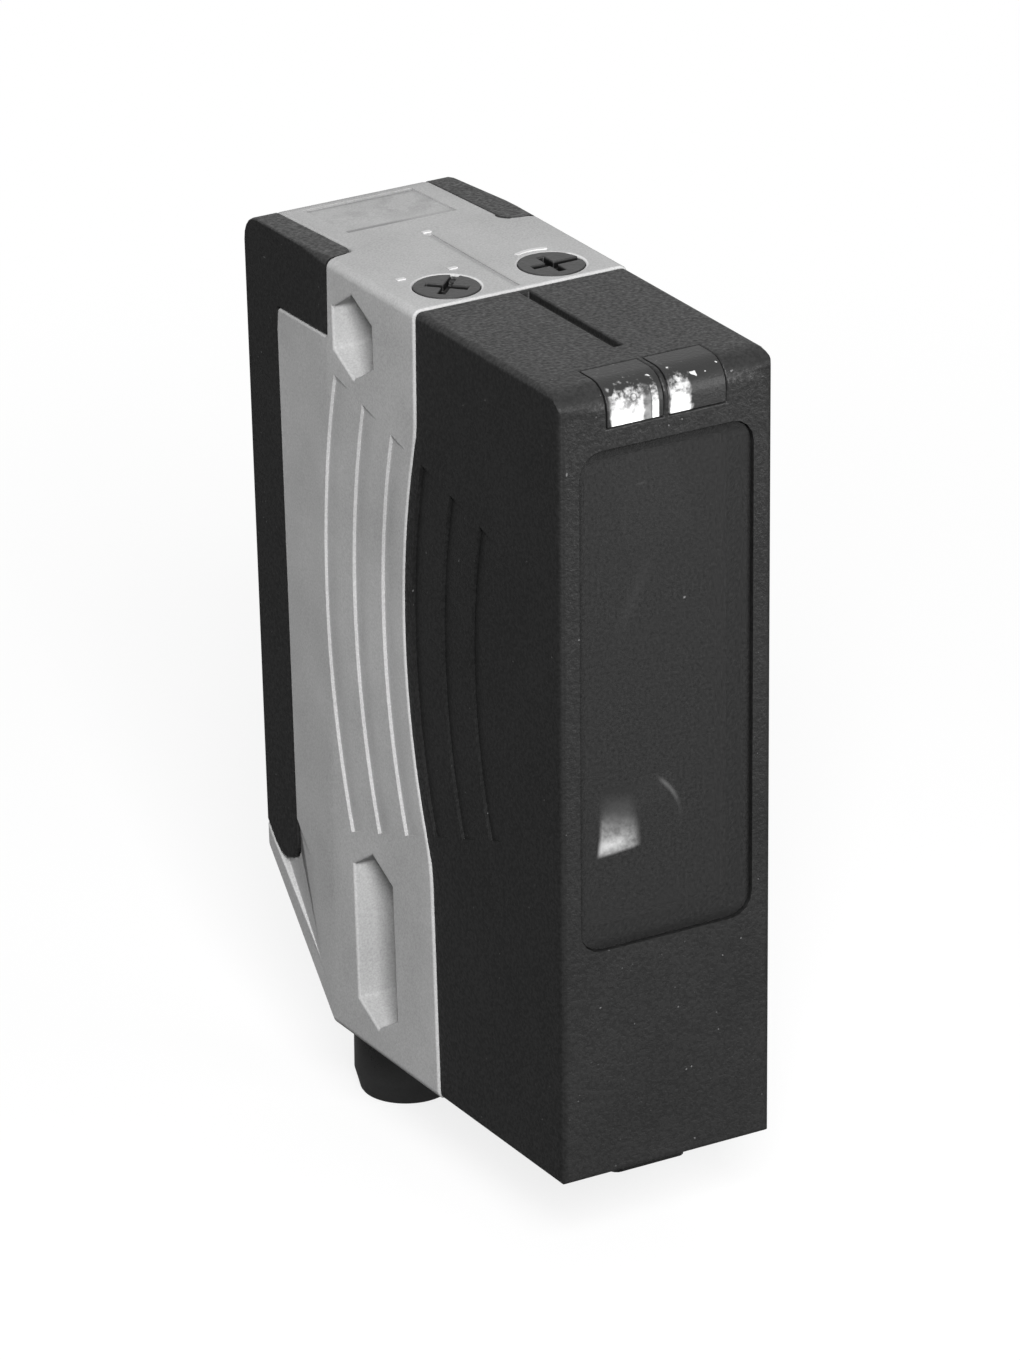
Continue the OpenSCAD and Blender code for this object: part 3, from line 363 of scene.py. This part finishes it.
def rounded(node, radius, segments=2, only=None):
    """A piece like `node` with its sharp edges rounded. `only` may pick the edges by their middle."""
    source = merged_copy(node)
    surface = BVHTree.FromBMesh(source)
    sharp = [edge for edge in source.edges
             if len(edge.link_faces) == 2 and edge.calc_face_angle(0) > SHARP
             and (only is None or only(*((edge.verts[0].co + edge.verts[1].co) / 2 / MM)))]
    corners = {vert.index: vert.co for edge in sharp for vert in edge.verts}
    tree = KDTree(len(corners))
    for index, co in corners.items():
        tree.insert(co, index)
    tree.balance()
    wanted = {edge.index: [vert.index for vert in edge.verts] for edge in sharp}
    left_sharp = set()
    for attempt in range(TRIES):
        shape = source.copy()
        shape.edges.ensure_lookup_table()
        chosen = [shape.edges[index] for index, ends in wanted.items()
                  if not left_sharp.intersection(ends)]
        bmesh.ops.bevel(shape, geom=chosen, offset=radius, offset_type="OFFSET", segments=segments,
                        profile=0.5, affect="EDGES", clamp_overlap=False)
        strays = folds(shape, surface, radius)
        if not strays:
            break
        for co in strays:
            left_sharp.update(index for _, index, _ in tree.find_range(co, NEAR * radius))
        if attempt < TRIES - 1:
            shape.free()
    print(node, "- rounded edges:", len(chosen), "of", len(wanted), "after", attempt + 1, "tries,",
          len(strays), "folds left")
    mesh = bpy.data.meshes.new(node)
    shape.to_mesh(mesh)
    shape.free()
    source.free()
    return piece_of(node, mesh)


# %% Turn a mesh into a piece of the scene


def piece_of(name, mesh):
    """An object with smooth shading that stays flat on flat faces."""
    if "custom_normal" in mesh.attributes:
        mesh.attributes.remove(mesh.attributes["custom_normal"])
    mesh.shade_smooth()
    mesh.set_sharp_from_angle(angle=SMOOTH)
    piece = bpy.data.objects.new(name + "_piece", mesh)
    bpy.context.collection.objects.link(piece)
    piece.modifiers.new("flat faces", "WEIGHTED_NORMAL").keep_sharp = True
    return applied(piece)


def applied(piece):
    """Replaces a piece's mesh by what its modifiers make of it."""
    graph = bpy.context.evaluated_depsgraph_get()
    piece.data = bpy.data.meshes.new_from_object(piece.evaluated_get(graph))
    piece.modifiers.clear()
    return piece


def stands_for(piece, node, material):
    """Gives a piece its material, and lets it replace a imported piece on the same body."""
    dress(piece, material)
    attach(piece, BODY_OF[node])
    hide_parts(node)


# %% Round the shells, the outlet and the adjusters
GRIP_CENTRE = (-85.0, -27.0)
GRIP_BAND = (56.0, 92.6)
GRIP_ANGLES = (-20.2, 14.2)
GRIP_SIDE = 12.0
PARTING_R, SIDE_X = 76.0, 12.85
PANE_EDGE_Y, PANE_EDGE_X, PANE_EDGE_Z = -38.0, 10.8, (-55.6, 0.7)


def not_grips(x, y, z):
    """False on the shallow steps of the grips, whose height leaves no room for a bevel."""
    across, along = y - GRIP_CENTRE[0], z - GRIP_CENTRE[1]
    in_band = GRIP_BAND[0] < math.hypot(across, along) < GRIP_BAND[1]
    turned = GRIP_ANGLES[0] < math.degrees(math.atan2(along, across)) < GRIP_ANGLES[1]
    return not (abs(x) > GRIP_SIDE and in_band and turned)


def not_front_details(x, y, z):
    """False on the grips, and on the close-fitting edge round the front window."""
    at_window = y < PANE_EDGE_Y and abs(x) < PANE_EDGE_X and PANE_EDGE_Z[0] < z < PANE_EDGE_Z[1]
    return not_grips(x, y, z) and not at_window


def parting_kept(x, y, z):
    """False on the grips and the label recess, but not on the parting edge between the grips."""
    on_parting = abs(x) > SIDE_X and math.hypot(y - GRIP_CENTRE[0], z - GRIP_CENTRE[1]) < PARTING_R
    in_label = abs(x) < 7 and LABEL_Y[0] - 1 < y < LABEL_Y[1] + 1 and z > TOP_Z - 1.5
    return (not_grips(x, y, z) or on_parting) and not in_label


for node, radius, material, only in (
        ("front_housing", 0.22 * MM, black_plastic, not_front_details),
        ("middle_frame", 0.3 * MM, grey_plastic, parting_kept),
        ("rear_cover", 0.22 * MM, black_plastic, None),
        ("connector_turret", 0.3 * MM, plug_plastic, None),
        ("sensitivity_adjuster", 0.12 * MM, knob_plastic, None),
        ("light_dark_selector", 0.12 * MM, knob_plastic, None)):
    stands_for(rounded(node, radius, only=only), node, material)

# %% [markdown]
# ## The front window and what lies behind it
#
# The front window is a dark filter that lets infrared light through. Its polished face shows soft
# reflections, and behind it one just sees the lenses: a patch of light in the lower one and small
# glints. The pane is partly see-through, and this light is painted on the lenses with masks in
# millimetres, as painted light that glows, so it lies at its real depth.

# %% The dark pane
PANE_ALPHA = 0.72
PANE_X, PANE_Z = (-10.0, 9.9), (-54.3, -0.7)
pane = Finish("filter_pane", Roughness=0.25, Specular_IOR_Level=0.32)
x, y, z = pane.axes()
waviness = pane.grain(6 * MM, 1.0)
centre = z.within(*PANE_Z, 0.9) * x.within(*PANE_X, 0.3)
film = pane.mix((pane.grain(0.35 * MM, 2.5) - 0.5) * 1.5 + 0.5, grey(0.010), grey(0.034))
pane.set(Base_Color=pane.mix(centre * 0.55 + 0.45, grey(0.002), film), Alpha=PANE_ALPHA)
pane.bumps((waviness, 0.03 * MM, 0.4))
dress(frame["nodes"]["front_window"], pane.material)
print("alpha of the pane:", PANE_ALPHA)

# %% The lenses
PATCH_X, PATCH_Z = (-5.7, -1.25), (-46.7, -42.6)
BOW_CENTRE, BOW_R = (-1.65, -44.3), (5.7, 5.95)


def lens_finish(name, glow):
    """A dark polished lens with painted light, which glows where the mask `glow` is above 0."""
    finish = Finish(name, Roughness=0.06, Emission_Strength=9.0)
    finish.set(Base_Color=finish.mix(finish.grain(2.5 * MM), grey(0.02), grey(0.035)))
    finish.set(Emission_Color=finish.mix(glow(finish, *finish.axes()), grey(0), grey(1)))
    finish.bumps((finish.grain(1.2 * MM, 1.0), 0.01 * MM, 0.3))
    return finish.material


def emitter_painted_light(finish, x, y, z):
    """Painted light that glows on the lens: a leaning patch with a bright streak low in it, a halo above
    it and a long crescent.
    """
    streaks = finish.grain(0.5 * MM, 3.0, 0.7)
    over_floor = z - PATCH_Z[0] - (x + 5.6) * 0.17
    patch = ((x - PATCH_X[0] - (z + 47) * 0.1).step(-0.25, 0.3) * over_floor.step(-0.2, 0.3)
             * (1 - (x - PATCH_X[1] + (z + 46.3) * 0.03).step(-0.8, 0.4))
             * (1 - (z - PATCH_Z[1] + (x + 4.9) * 0.15).step(-2.0, 1.2)))
    streak = over_floor.within(0.5, 1.7, 0.6) * (1 - (x + 3.0).step(-0.6, 0.8))
    halo = x.within(-4.9, -1.7, 0.9) * (z + 41.9).within(-0.7, 0.5, 1.8)
    fade = z.step(-43.0, -40.9) * 0.8 + z.step(-45.0, -43.0) * 0.2
    crescent = finish.distance(x, z, BOW_CENTRE).within(*BOW_R, 0.3) * x.step(1.5, 2.4) * fade
    return patch * (streaks * 0.75 + streak * 0.5) + halo * 0.11 + crescent * 0.2


def receiver_painted_light(finish, x, y, z):
    """Painted light that glows on the large lens: a faint leaning streak and a few glints."""
    across = x + 3.4 - (z + 21.0) * 0.47
    streak = across.within(-0.2, 0.9, 0.9) * z.within(-21, -15, 2.4)
    glint = x.within(4.25, 4.5, 0.12) * z.within(-19.75, -19.6, 0.12)
    dash = x.within(-0.3, 0.5, 0.3) * z.within(-6.85, -6.7, 0.15)
    return streak * 0.015 + glint * 0.5 + dash * 0.06


for node, glow in (("emitter_lens", emitter_painted_light), ("receiver_lens", receiver_painted_light)):
    dress(frame["nodes"][node], lens_finish(node + "_plastic", glow))

# %% [markdown]
# ## Indicator windows
#
# Two clear windows pass the light of the indicator LEDs to the top front edge, parted by a thin
# black rib. Their front faces look white and mottled where light collects in the plastic, and dark
# where one looks past it into the case. Clear plastic would need many light paths for that, so both
# are painted into the colour: the white is painted light, the dark painted shade. A mask made from
# the place on the window paints them, the same in any light: white low down, broken up by noise
# higher up, with painted glints, a grey stripe and a small bubble.

# %% The indicator windows
FRONT_Y, WINDOW_LOW = -41.0, 2.4
BUBBLE = (-3.8, 5.0)
indicator = Finish("clear_plastic", Roughness=0.42, Specular_IOR_Level=0.24)
x, y, z = indicator.axes()
climb = (z - WINDOW_LOW) + (y - FRONT_Y)
mottle = indicator.grain(0.7 * MM, 3.0, 0.6)
sway = indicator.grain(1.3 * MM, 2.0, 0.6) - 0.5
whole = 1 - (climb + sway * 2.0).step(2.7, 3.7)
broken = (mottle - 0.27 - climb.step(2.4, 6.2) * 0.34).step(0.0, 0.36) * 0.5
stripes = ((x + sway * 0.8).within(-6.5, -2.7, 0.25) + x.within(-2.6, -1.8, 0.12) * 0.2
           + x.within(-1.7, -0.95, 0.08) + (x + sway * 1.2).within(0.5, 2.7, 0.3))
bubble = indicator.distance(x, z, BUBBLE).within(0.28, 0.42, 0.1) * 0.8
glints = (indicator.grain(0.7 * MM, 0.0).step(0.78, 0.82)
          * climb.step(2.0, 3.0) * (1 - climb.step(6.0, 7.0)) * 0.5)
bright = (1 - (climb + sway * 2.4).step(1.2, 2.4)) * 0.66 + mottle.step(0.42, 0.6) * 0.26 + 0.08
lit = (stripes * (whole * bright).larger(broken) * (1 - bubble)).larger(glints)
# The painted light of the windows: near white where `lit` is 1, painted shade where it is 0.
indicator.set(Base_Color=indicator.mix(lit, grey(0.016), grey(0.95)))
indicator.bumps((sway + 0.5, 0.03 * MM, 0.3), (indicator.grain(0.42 * MM, 2.5, 0.6), 0.08 * MM, 0.6))
WINDOW_EDGE_R = 0.06 * MM
for node in ("power_window", "switching_window"):
    stands_for(rounded(node, WINDOW_EDGE_R), node, indicator.material)
dress(frame["nodes"]["light_guides"], indicator.material)

# %% [markdown]
# ## Inner pieces
#
# The pieces inside the case are seen only in close-ups of the pulled-apart model, but each gets
# its own finish: green solder mask, black epoxy, ivory nylon, rubber, steel and brass.

# %% Finishes of the inner pieces


def plain(name, dark, light, size, bump=0.01 * MM, **surface):
    """A finish with a slow change between two colours and a fine grain of the given size."""
    finish = Finish(name, **surface)
    finish.set(Base_Color=finish.mix(finish.grain(8 * size, 2.0), dark, light))
    finish.bumps((finish.grain(size, 2.0), bump, 0.5))
    return finish.material


def rgb(r, g, b):
    """A colour from its red, green and blue."""
    return (r, g, b, 1)


holder_black = plain("holder_black", grey(0.008), grey(0.012), 0.3 * MM, Roughness=0.6)
FINISHES = {
    "holder_black": holder_black,
    "board_green": plain("solder_mask", rgb(0.012, 0.11, 0.04), rgb(0.02, 0.16, 0.06), 0.5 * MM,
                         Roughness=0.3),
    "component_black": plain("epoxy_black", grey(0.012), grey(0.02), 0.15 * MM, Roughness=0.5),
    "component_ivory": plain("nylon_ivory", rgb(0.72, 0.66, 0.5), rgb(0.8, 0.75, 0.6), 0.3 * MM,
                             Roughness=0.5),
    "component_blue": plain("housing_blue", rgb(0.02, 0.07, 0.3), rgb(0.03, 0.1, 0.38), 0.3 * MM,
                            Roughness=0.4),
    "led_green": plain("led_green", rgb(0.1, 0.6, 0.15), rgb(0.2, 0.8, 0.3), 0.5 * MM, Roughness=0.15),
    "led_amber": plain("led_amber", rgb(0.8, 0.35, 0.02), rgb(0.9, 0.5, 0.05), 0.5 * MM, Roughness=0.15),
    "clear_plastic": plain("led_clear", grey(0.5), grey(0.7), 0.5 * MM, Roughness=0.1),
    "seal_rubber": plain("seal_rubber", grey(0.010), grey(0.018), 0.2 * MM, Roughness=0.7),
    "lead_jacket": plain("lead_jacket", grey(0.03), grey(0.045), 0.3 * MM, Roughness=0.5),
    "screw_steel": plain("zinc_steel", grey(0.55), grey(0.7), 0.25 * MM, Roughness=0.32, Metallic=1.0),
    "contact_brass": plain("gold_brass", rgb(0.8, 0.55, 0.2), rgb(0.9, 0.68, 0.3), 0.3 * MM,
                           Roughness=0.25, Metallic=1.0),
}
dressed = {"front_window", "emitter_lens", "receiver_lens", "power_window", "switching_window",
           "light_guides", "front_housing", "middle_frame", "rear_cover", "connector_turret",
           "sensitivity_adjuster", "light_dark_selector"}
for node, thing in frame["nodes"].items():
    if node not in dressed:
        dress(thing, FINISHES.get(SLOT_OF[node], holder_black))
print("inner pieces:", len(frame["nodes"]) - len(dressed))

# %% [markdown]
# ## Screws and pins
#
# Four screws hold the rear cover, and four pins make the plug. A part that repeats is best grown
# by Geometry Nodes: one tree draws the screw from a few sizes and puts it on the two points of a
# line. The same tree with another length and height makes the other pair. A spiral with a
# three-sided profile gives the thread, a cone the head, and a Boolean cuts the cross recess.

# %% A helper for Geometry Nodes


class Growth:
    """A Geometry Nodes tree with named number inputs, which grows one mesh."""

    def __init__(self, name, **inputs):
        self.tree = bpy.data.node_groups.new(name, "GeometryNodeTree")
        self.identifiers = {}
        for key, value in inputs.items():
            entry = self.tree.interface.new_socket(key, in_out="INPUT", socket_type="NodeSocketFloat")
            entry.default_value = value
            self.identifiers[key] = entry.identifier
        self.tree.interface.new_socket("Geometry", in_out="OUTPUT", socket_type="NodeSocketGeometry")
        start = self.tree.nodes.new("NodeGroupInput")
        self.size = {key: start.outputs[key] for key in inputs}

    def node(self, kind, settings=None, sockets=None, out=0):
        """Adds a node: first its settings, then values or links for its sockets."""
        new = self.tree.nodes.new(kind)
        for key, value in (settings or {}).items():
            setattr(new, key, value)
        for key, value in (sockets or {}).items():
            for one in value if isinstance(value, list) else [value]:
                if isinstance(one, bpy.types.NodeSocket):
                    self.tree.links.new(one, new.inputs[key])
                else:
                    new.inputs[key].default_value = one
        return new.outputs[out]

    def sum(self, operation, first, second):
        return self.node("ShaderNodeMath", {"operation": operation}, {0: first, 1: second})

    def vector(self, x=0.0, y=0.0, z=0.0):
        return self.node("ShaderNodeCombineXYZ", {}, {0: x, 1: y, 2: z})

    def moved(self, geometry, **change):
        return self.node("GeometryNodeTransform", {}, {"Geometry": geometry, **change})

    def end(self, geometry, material):
        """Realizes the instances and sets the material, because an export drops instances."""
        real = self.node("GeometryNodeRealizeInstances", {}, {0: geometry})
        coated = self.node("GeometryNodeSetMaterial", {}, {"Geometry": real, "Material": material})
        self.tree.links.new(coated, self.tree.nodes.new("NodeGroupOutput").inputs[0])

    def grow(self, name, **values):
        """A plain mesh object from the tree, with other values for some of its inputs."""
        piece = bpy.data.objects.new(name, bpy.data.meshes.new(name))
        bpy.context.collection.objects.link(piece)
        modifier = piece.modifiers.new("growth", "NODES")
        modifier.node_group = self.tree
        for key, value in values.items():
            modifier[self.identifiers[key]] = value
        return applied(piece)


def finished(mesh, material):
    """Smooth shading and one material for a grown mesh."""
    mesh.shade_smooth()
    mesh.set_sharp_from_angle(angle=math.radians(40))
    print(len(mesh.polygons), "faces in", mesh.name)
    return material


# %% The shank of a case screw and its thread
POST_X = 8.2 * MM
POST_Z = {"low": -51.03 * MM, "high": -9.5 * MM}
PLAIN_SHANK, THREAD_START = 6 * MM, 0.3 * MM
screw = Growth("screw", Length=42.3 * MM, Height=POST_Z["low"], Spacing=2 * POST_X, Head=1.9 * MM,
               Head_Height=1.2 * MM, Core=0.72 * MM, Ridge=0.26 * MM, Pitch=0.9 * MM)
size = screw.size
shank = screw.sum("SUBTRACT", size["Length"], size["Head_Height"])
core = screw.node("GeometryNodeMeshCylinder", {}, {"Vertices": 20, "Radius": size["Core"], "Depth": shank})
core = screw.moved(core, Translation=screw.vector(z=screw.sum("MULTIPLY", shank, 0.5)))
threaded = screw.sum("SUBTRACT", shank, PLAIN_SHANK)
helix = screw.node("GeometryNodeCurveSpiral", {}, {
    "Resolution": 16, "Rotations": screw.sum("DIVIDE", threaded, size["Pitch"]),
    "Start Radius": size["Core"], "End Radius": size["Core"], "Height": threaded})
ridge = screw.node("GeometryNodeCurvePrimitiveCircle", {}, {"Resolution": 3, "Radius": size["Ridge"]})
thread = screw.node("GeometryNodeCurveToMesh", {},
                    {"Curve": helix, "Profile Curve": ridge, "Fill Caps": True})
thread = screw.moved(thread, Translation=(0, 0, THREAD_START))
print("inputs of the screw:", ", ".join(size))

# %% The head and its cross recess
HEAD_TAPER = 0.82
CROSS_LONG, CROSS_THIN, CROSS_DEEP = 2.6 * MM, 0.5 * MM, 1.4 * MM
skirt = screw.node("GeometryNodeMeshCone", {}, {
    "Vertices": 40, "Radius Top": screw.sum("MULTIPLY", size["Head"], HEAD_TAPER),
    "Radius Bottom": size["Head"], "Depth": size["Head_Height"]})
skirt = screw.moved(skirt, Translation=screw.vector(z=shank))
blades = [screw.node("GeometryNodeMeshCube", {}, {"Size": bar}) for bar in
          ((CROSS_LONG, CROSS_THIN, CROSS_DEEP), (CROSS_THIN, CROSS_LONG, CROSS_DEEP))]
recess = screw.moved(screw.node("GeometryNodeJoinGeometry", {}, {0: blades}),
                     Translation=screw.vector(z=size["Length"]))
head = screw.node("GeometryNodeMeshBoolean", {"operation": "DIFFERENCE", "solver": "EXACT"},
                  {"Mesh 1": skirt, "Mesh 2": recess, "Self Intersection": True})
whole_screw = screw.node("GeometryNodeJoinGeometry", {}, {0: [core, thread, head]})
print("nodes in the screw's tree:", len(screw.tree.nodes))

# %% Two pairs of screws
HEAD_Y = {"low": 21.56 * MM, "high": 23.45 * MM}
SCREW_TIP_Y = -20.8 * MM
steel = FINISHES["screw_steel"]
laid = screw.moved(whole_screw, Rotation=(-math.pi / 2, 0, 0))
first = screw.vector(screw.sum("MULTIPLY", size["Spacing"], -0.5), SCREW_TIP_Y, size["Height"])
row = screw.node("GeometryNodeMeshLine", {"mode": "OFFSET"}, {
    "Count": 2, "Start Location": first, "Offset": screw.vector(size["Spacing"])})
screw.end(screw.node("GeometryNodeInstanceOnPoints", {}, {"Points": row, "Instance": laid}), steel)
pairs = [screw.grow("screw_pair", Length=HEAD_Y[end] - SCREW_TIP_Y, Height=POST_Z[end])
         for end in POST_Z]
both = bmesh.new()
for pair in pairs:
    both.from_mesh(pair.data)
    bpy.data.objects.remove(pair)
mesh = bpy.data.meshes.new("case_screws")
both.to_mesh(mesh)
both.free()
screws = bpy.data.objects.new("case_screws_piece", mesh)
bpy.context.collection.objects.link(screws)
stands_for(screws, "case_screws", finished(mesh, steel))

# %% [markdown]
# The contact pins are turned: a plain rod with a rounded tip. The tree sweeps a circle along a
# line, with a radius that follows the height, and puts the pin on the corners of a square.

# %% The contact pins
brass = FINISHES["contact_brass"]
PIN_LOW, PIN_HIGH = -93.1 * MM, -82.3 * MM
PLUG_Y = 13 * MM
pin = Growth("pin", Radius=0.5 * MM, Circle=2.5 * MM, Tip=0.5 * MM)
size = pin.size
rod = pin.node("GeometryNodeCurvePrimitiveLine", {}, {"Start": (0, 0, PIN_LOW), "End": (0, 0, PIN_HIGH)})
rod = pin.node("GeometryNodeResampleCurve", {}, {"Curve": rod, "Count": 60})
height = pin.node("ShaderNodeSeparateXYZ", {}, {0: pin.node("GeometryNodeInputPosition")}, 2)
above_tip = pin.sum("SUBTRACT", height, PIN_LOW)
left = pin.node("ShaderNodeMapRange", {}, {"Value": above_tip, "From Max": size["Tip"],
                                           "To Min": 0.98, "To Max": 0.0})
squared = pin.sum("SUBTRACT", 1.0, pin.sum("MULTIPLY", left, left))
share = pin.node("ShaderNodeMath", {"operation": "SQRT"}, {0: squared})
rounded_tip = pin.sum("MULTIPLY", share, size["Radius"])
circle = pin.node("GeometryNodeCurvePrimitiveCircle", {}, {"Resolution": 16, "Radius": 1.0})
swept = pin.node("GeometryNodeCurveToMesh", {}, {"Curve": rod, "Profile Curve": circle,
                                                 "Scale": rounded_tip, "Fill Caps": True})
square = pin.node("GeometryNodeMeshCircle", {}, {"Vertices": 4, "Radius": size["Circle"]})
square = pin.moved(square, Rotation=(0, 0, math.pi / 4), Translation=(0, PLUG_Y, 0))
pin.end(pin.node("GeometryNodeInstanceOnPoints", {}, {"Points": square, "Instance": swept}), brass)
pins = pin.grow("contact_pins_piece")
stands_for(pins, "contact_pins", finished(pins.data, brass))

# %% [markdown]
# ## Floor and light
#
# The sensor stands in a white studio. The main light comes from the front left, close to the
# camera, and lights the grey side. A low one on the right wakes the dark front, and a weak one
# behind and above the top draws the far edges. An even light from all round fills the shadows. The
# floor and the backdrop look white to the camera, and the sky also in glossy and clear surfaces,
# through the Light Path node, so their white puts no extra light on the object. Near the object
# the floor mixes in a little of its lit self, which keeps a shadow.

# %% Floor and backdrop
FLOOR_SIZE = 6.0
WHITE_NEAR, WHITE_FAR, FADE = 0.8, 0.2, (0.1, 0.3)
AMBIENT = 0.2


def stage_plane(name, size, z, material):
    """A level square that belongs to the stage and not to the sensor."""
    mesh = bpy.data.meshes.new(name)
    mesh.from_pydata([(-size, -size, z), (size, -size, z), (size, size, z), (-size, size, z)], [],
                     [(0, 1, 2, 3)])
    mesh.materials.append(material)
    plane = bpy.data.objects.new(name, mesh)
    bpy.context.collection.objects.link(plane)
    plane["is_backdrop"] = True


floor = Finish("floor", Roughness=0.9, Specular_IOR_Level=0.0)
seen = floor.node("ShaderNodeLightPath", out="Is Camera Ray")
distance = floor.node("ShaderNodeVectorMath", {"operation": "LENGTH"}, {0: floor.place}, "Value")
floor.set(Base_Color=floor.mix(seen, grey(0.14), grey(0.9)))
white = floor.node("ShaderNodeEmission", {}, {"Color": grey(1), "Strength": 1.0})
glow = seen * (WHITE_NEAR + distance.step(*FADE) * WHITE_FAR)
floor.feed(floor.end, floor.node("ShaderNodeMixShader", {}, {0: glow, 1: floor.surface, 2: white}))
stage_plane("floor", FLOOR_SIZE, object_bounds()[0][2], floor.material)

world = bpy.data.worlds.new("studio")
world.use_nodes = True
bpy.context.scene.world = world
nodes, links = world.node_tree.nodes, world.node_tree.links
path = nodes.new("ShaderNodeLightPath")
shows_white = path.outputs["Is Camera Ray"]
for ray in ("Is Glossy Ray", "Is Transmission Ray"):
    either = nodes.new("ShaderNodeMath")
    either.operation = "MAXIMUM"
    links.new(shows_white, either.inputs[0])
    links.new(path.outputs[ray], either.inputs[1])
    shows_white = either.outputs[0]
strength = nodes.new("ShaderNodeMapRange")
strength.inputs["To Min"].default_value = AMBIENT
strength.inputs["To Max"].default_value = 1.0
links.new(shows_white, strength.inputs["Value"])
sky = nodes["Background"]
sky.inputs["Color"].default_value = grey(1)
links.new(strength.outputs["Result"], sky.inputs["Strength"])
print("even light:", AMBIENT)

# %% Lamps
HEART = Vector((0, -10, -37)) * MM


def softbox(name, bearing, height, distance, size, power):
    """A square lamp, seen from the object at a bearing from the front and a height in degrees."""
    a, e = math.radians(bearing), math.radians(height)
    place = HEART + distance * Vector((math.sin(a) * math.cos(e), -math.cos(a) * math.cos(e), math.sin(e)))
    light = bpy.data.lights.new(name, "AREA")
    light.shape, light.size, light.energy = "SQUARE", size, power
    lamp = bpy.data.objects.new(name, light)
    lamp.location = place
    lamp.rotation_euler = (HEART - place).to_track_quat("-Z", "Y").to_euler()
    bpy.context.collection.objects.link(lamp)


softbox("key", -27, 31, 1.0, 0.3, 16)
softbox("front fill", 34, 5, 0.6, 0.3, 2.8)
softbox("overhead", 160, 75, 1.0, 0.6, 1.4)
bpy.context.scene.view_settings.view_transform = "Standard"
print("lamps:", len(bpy.data.lights))
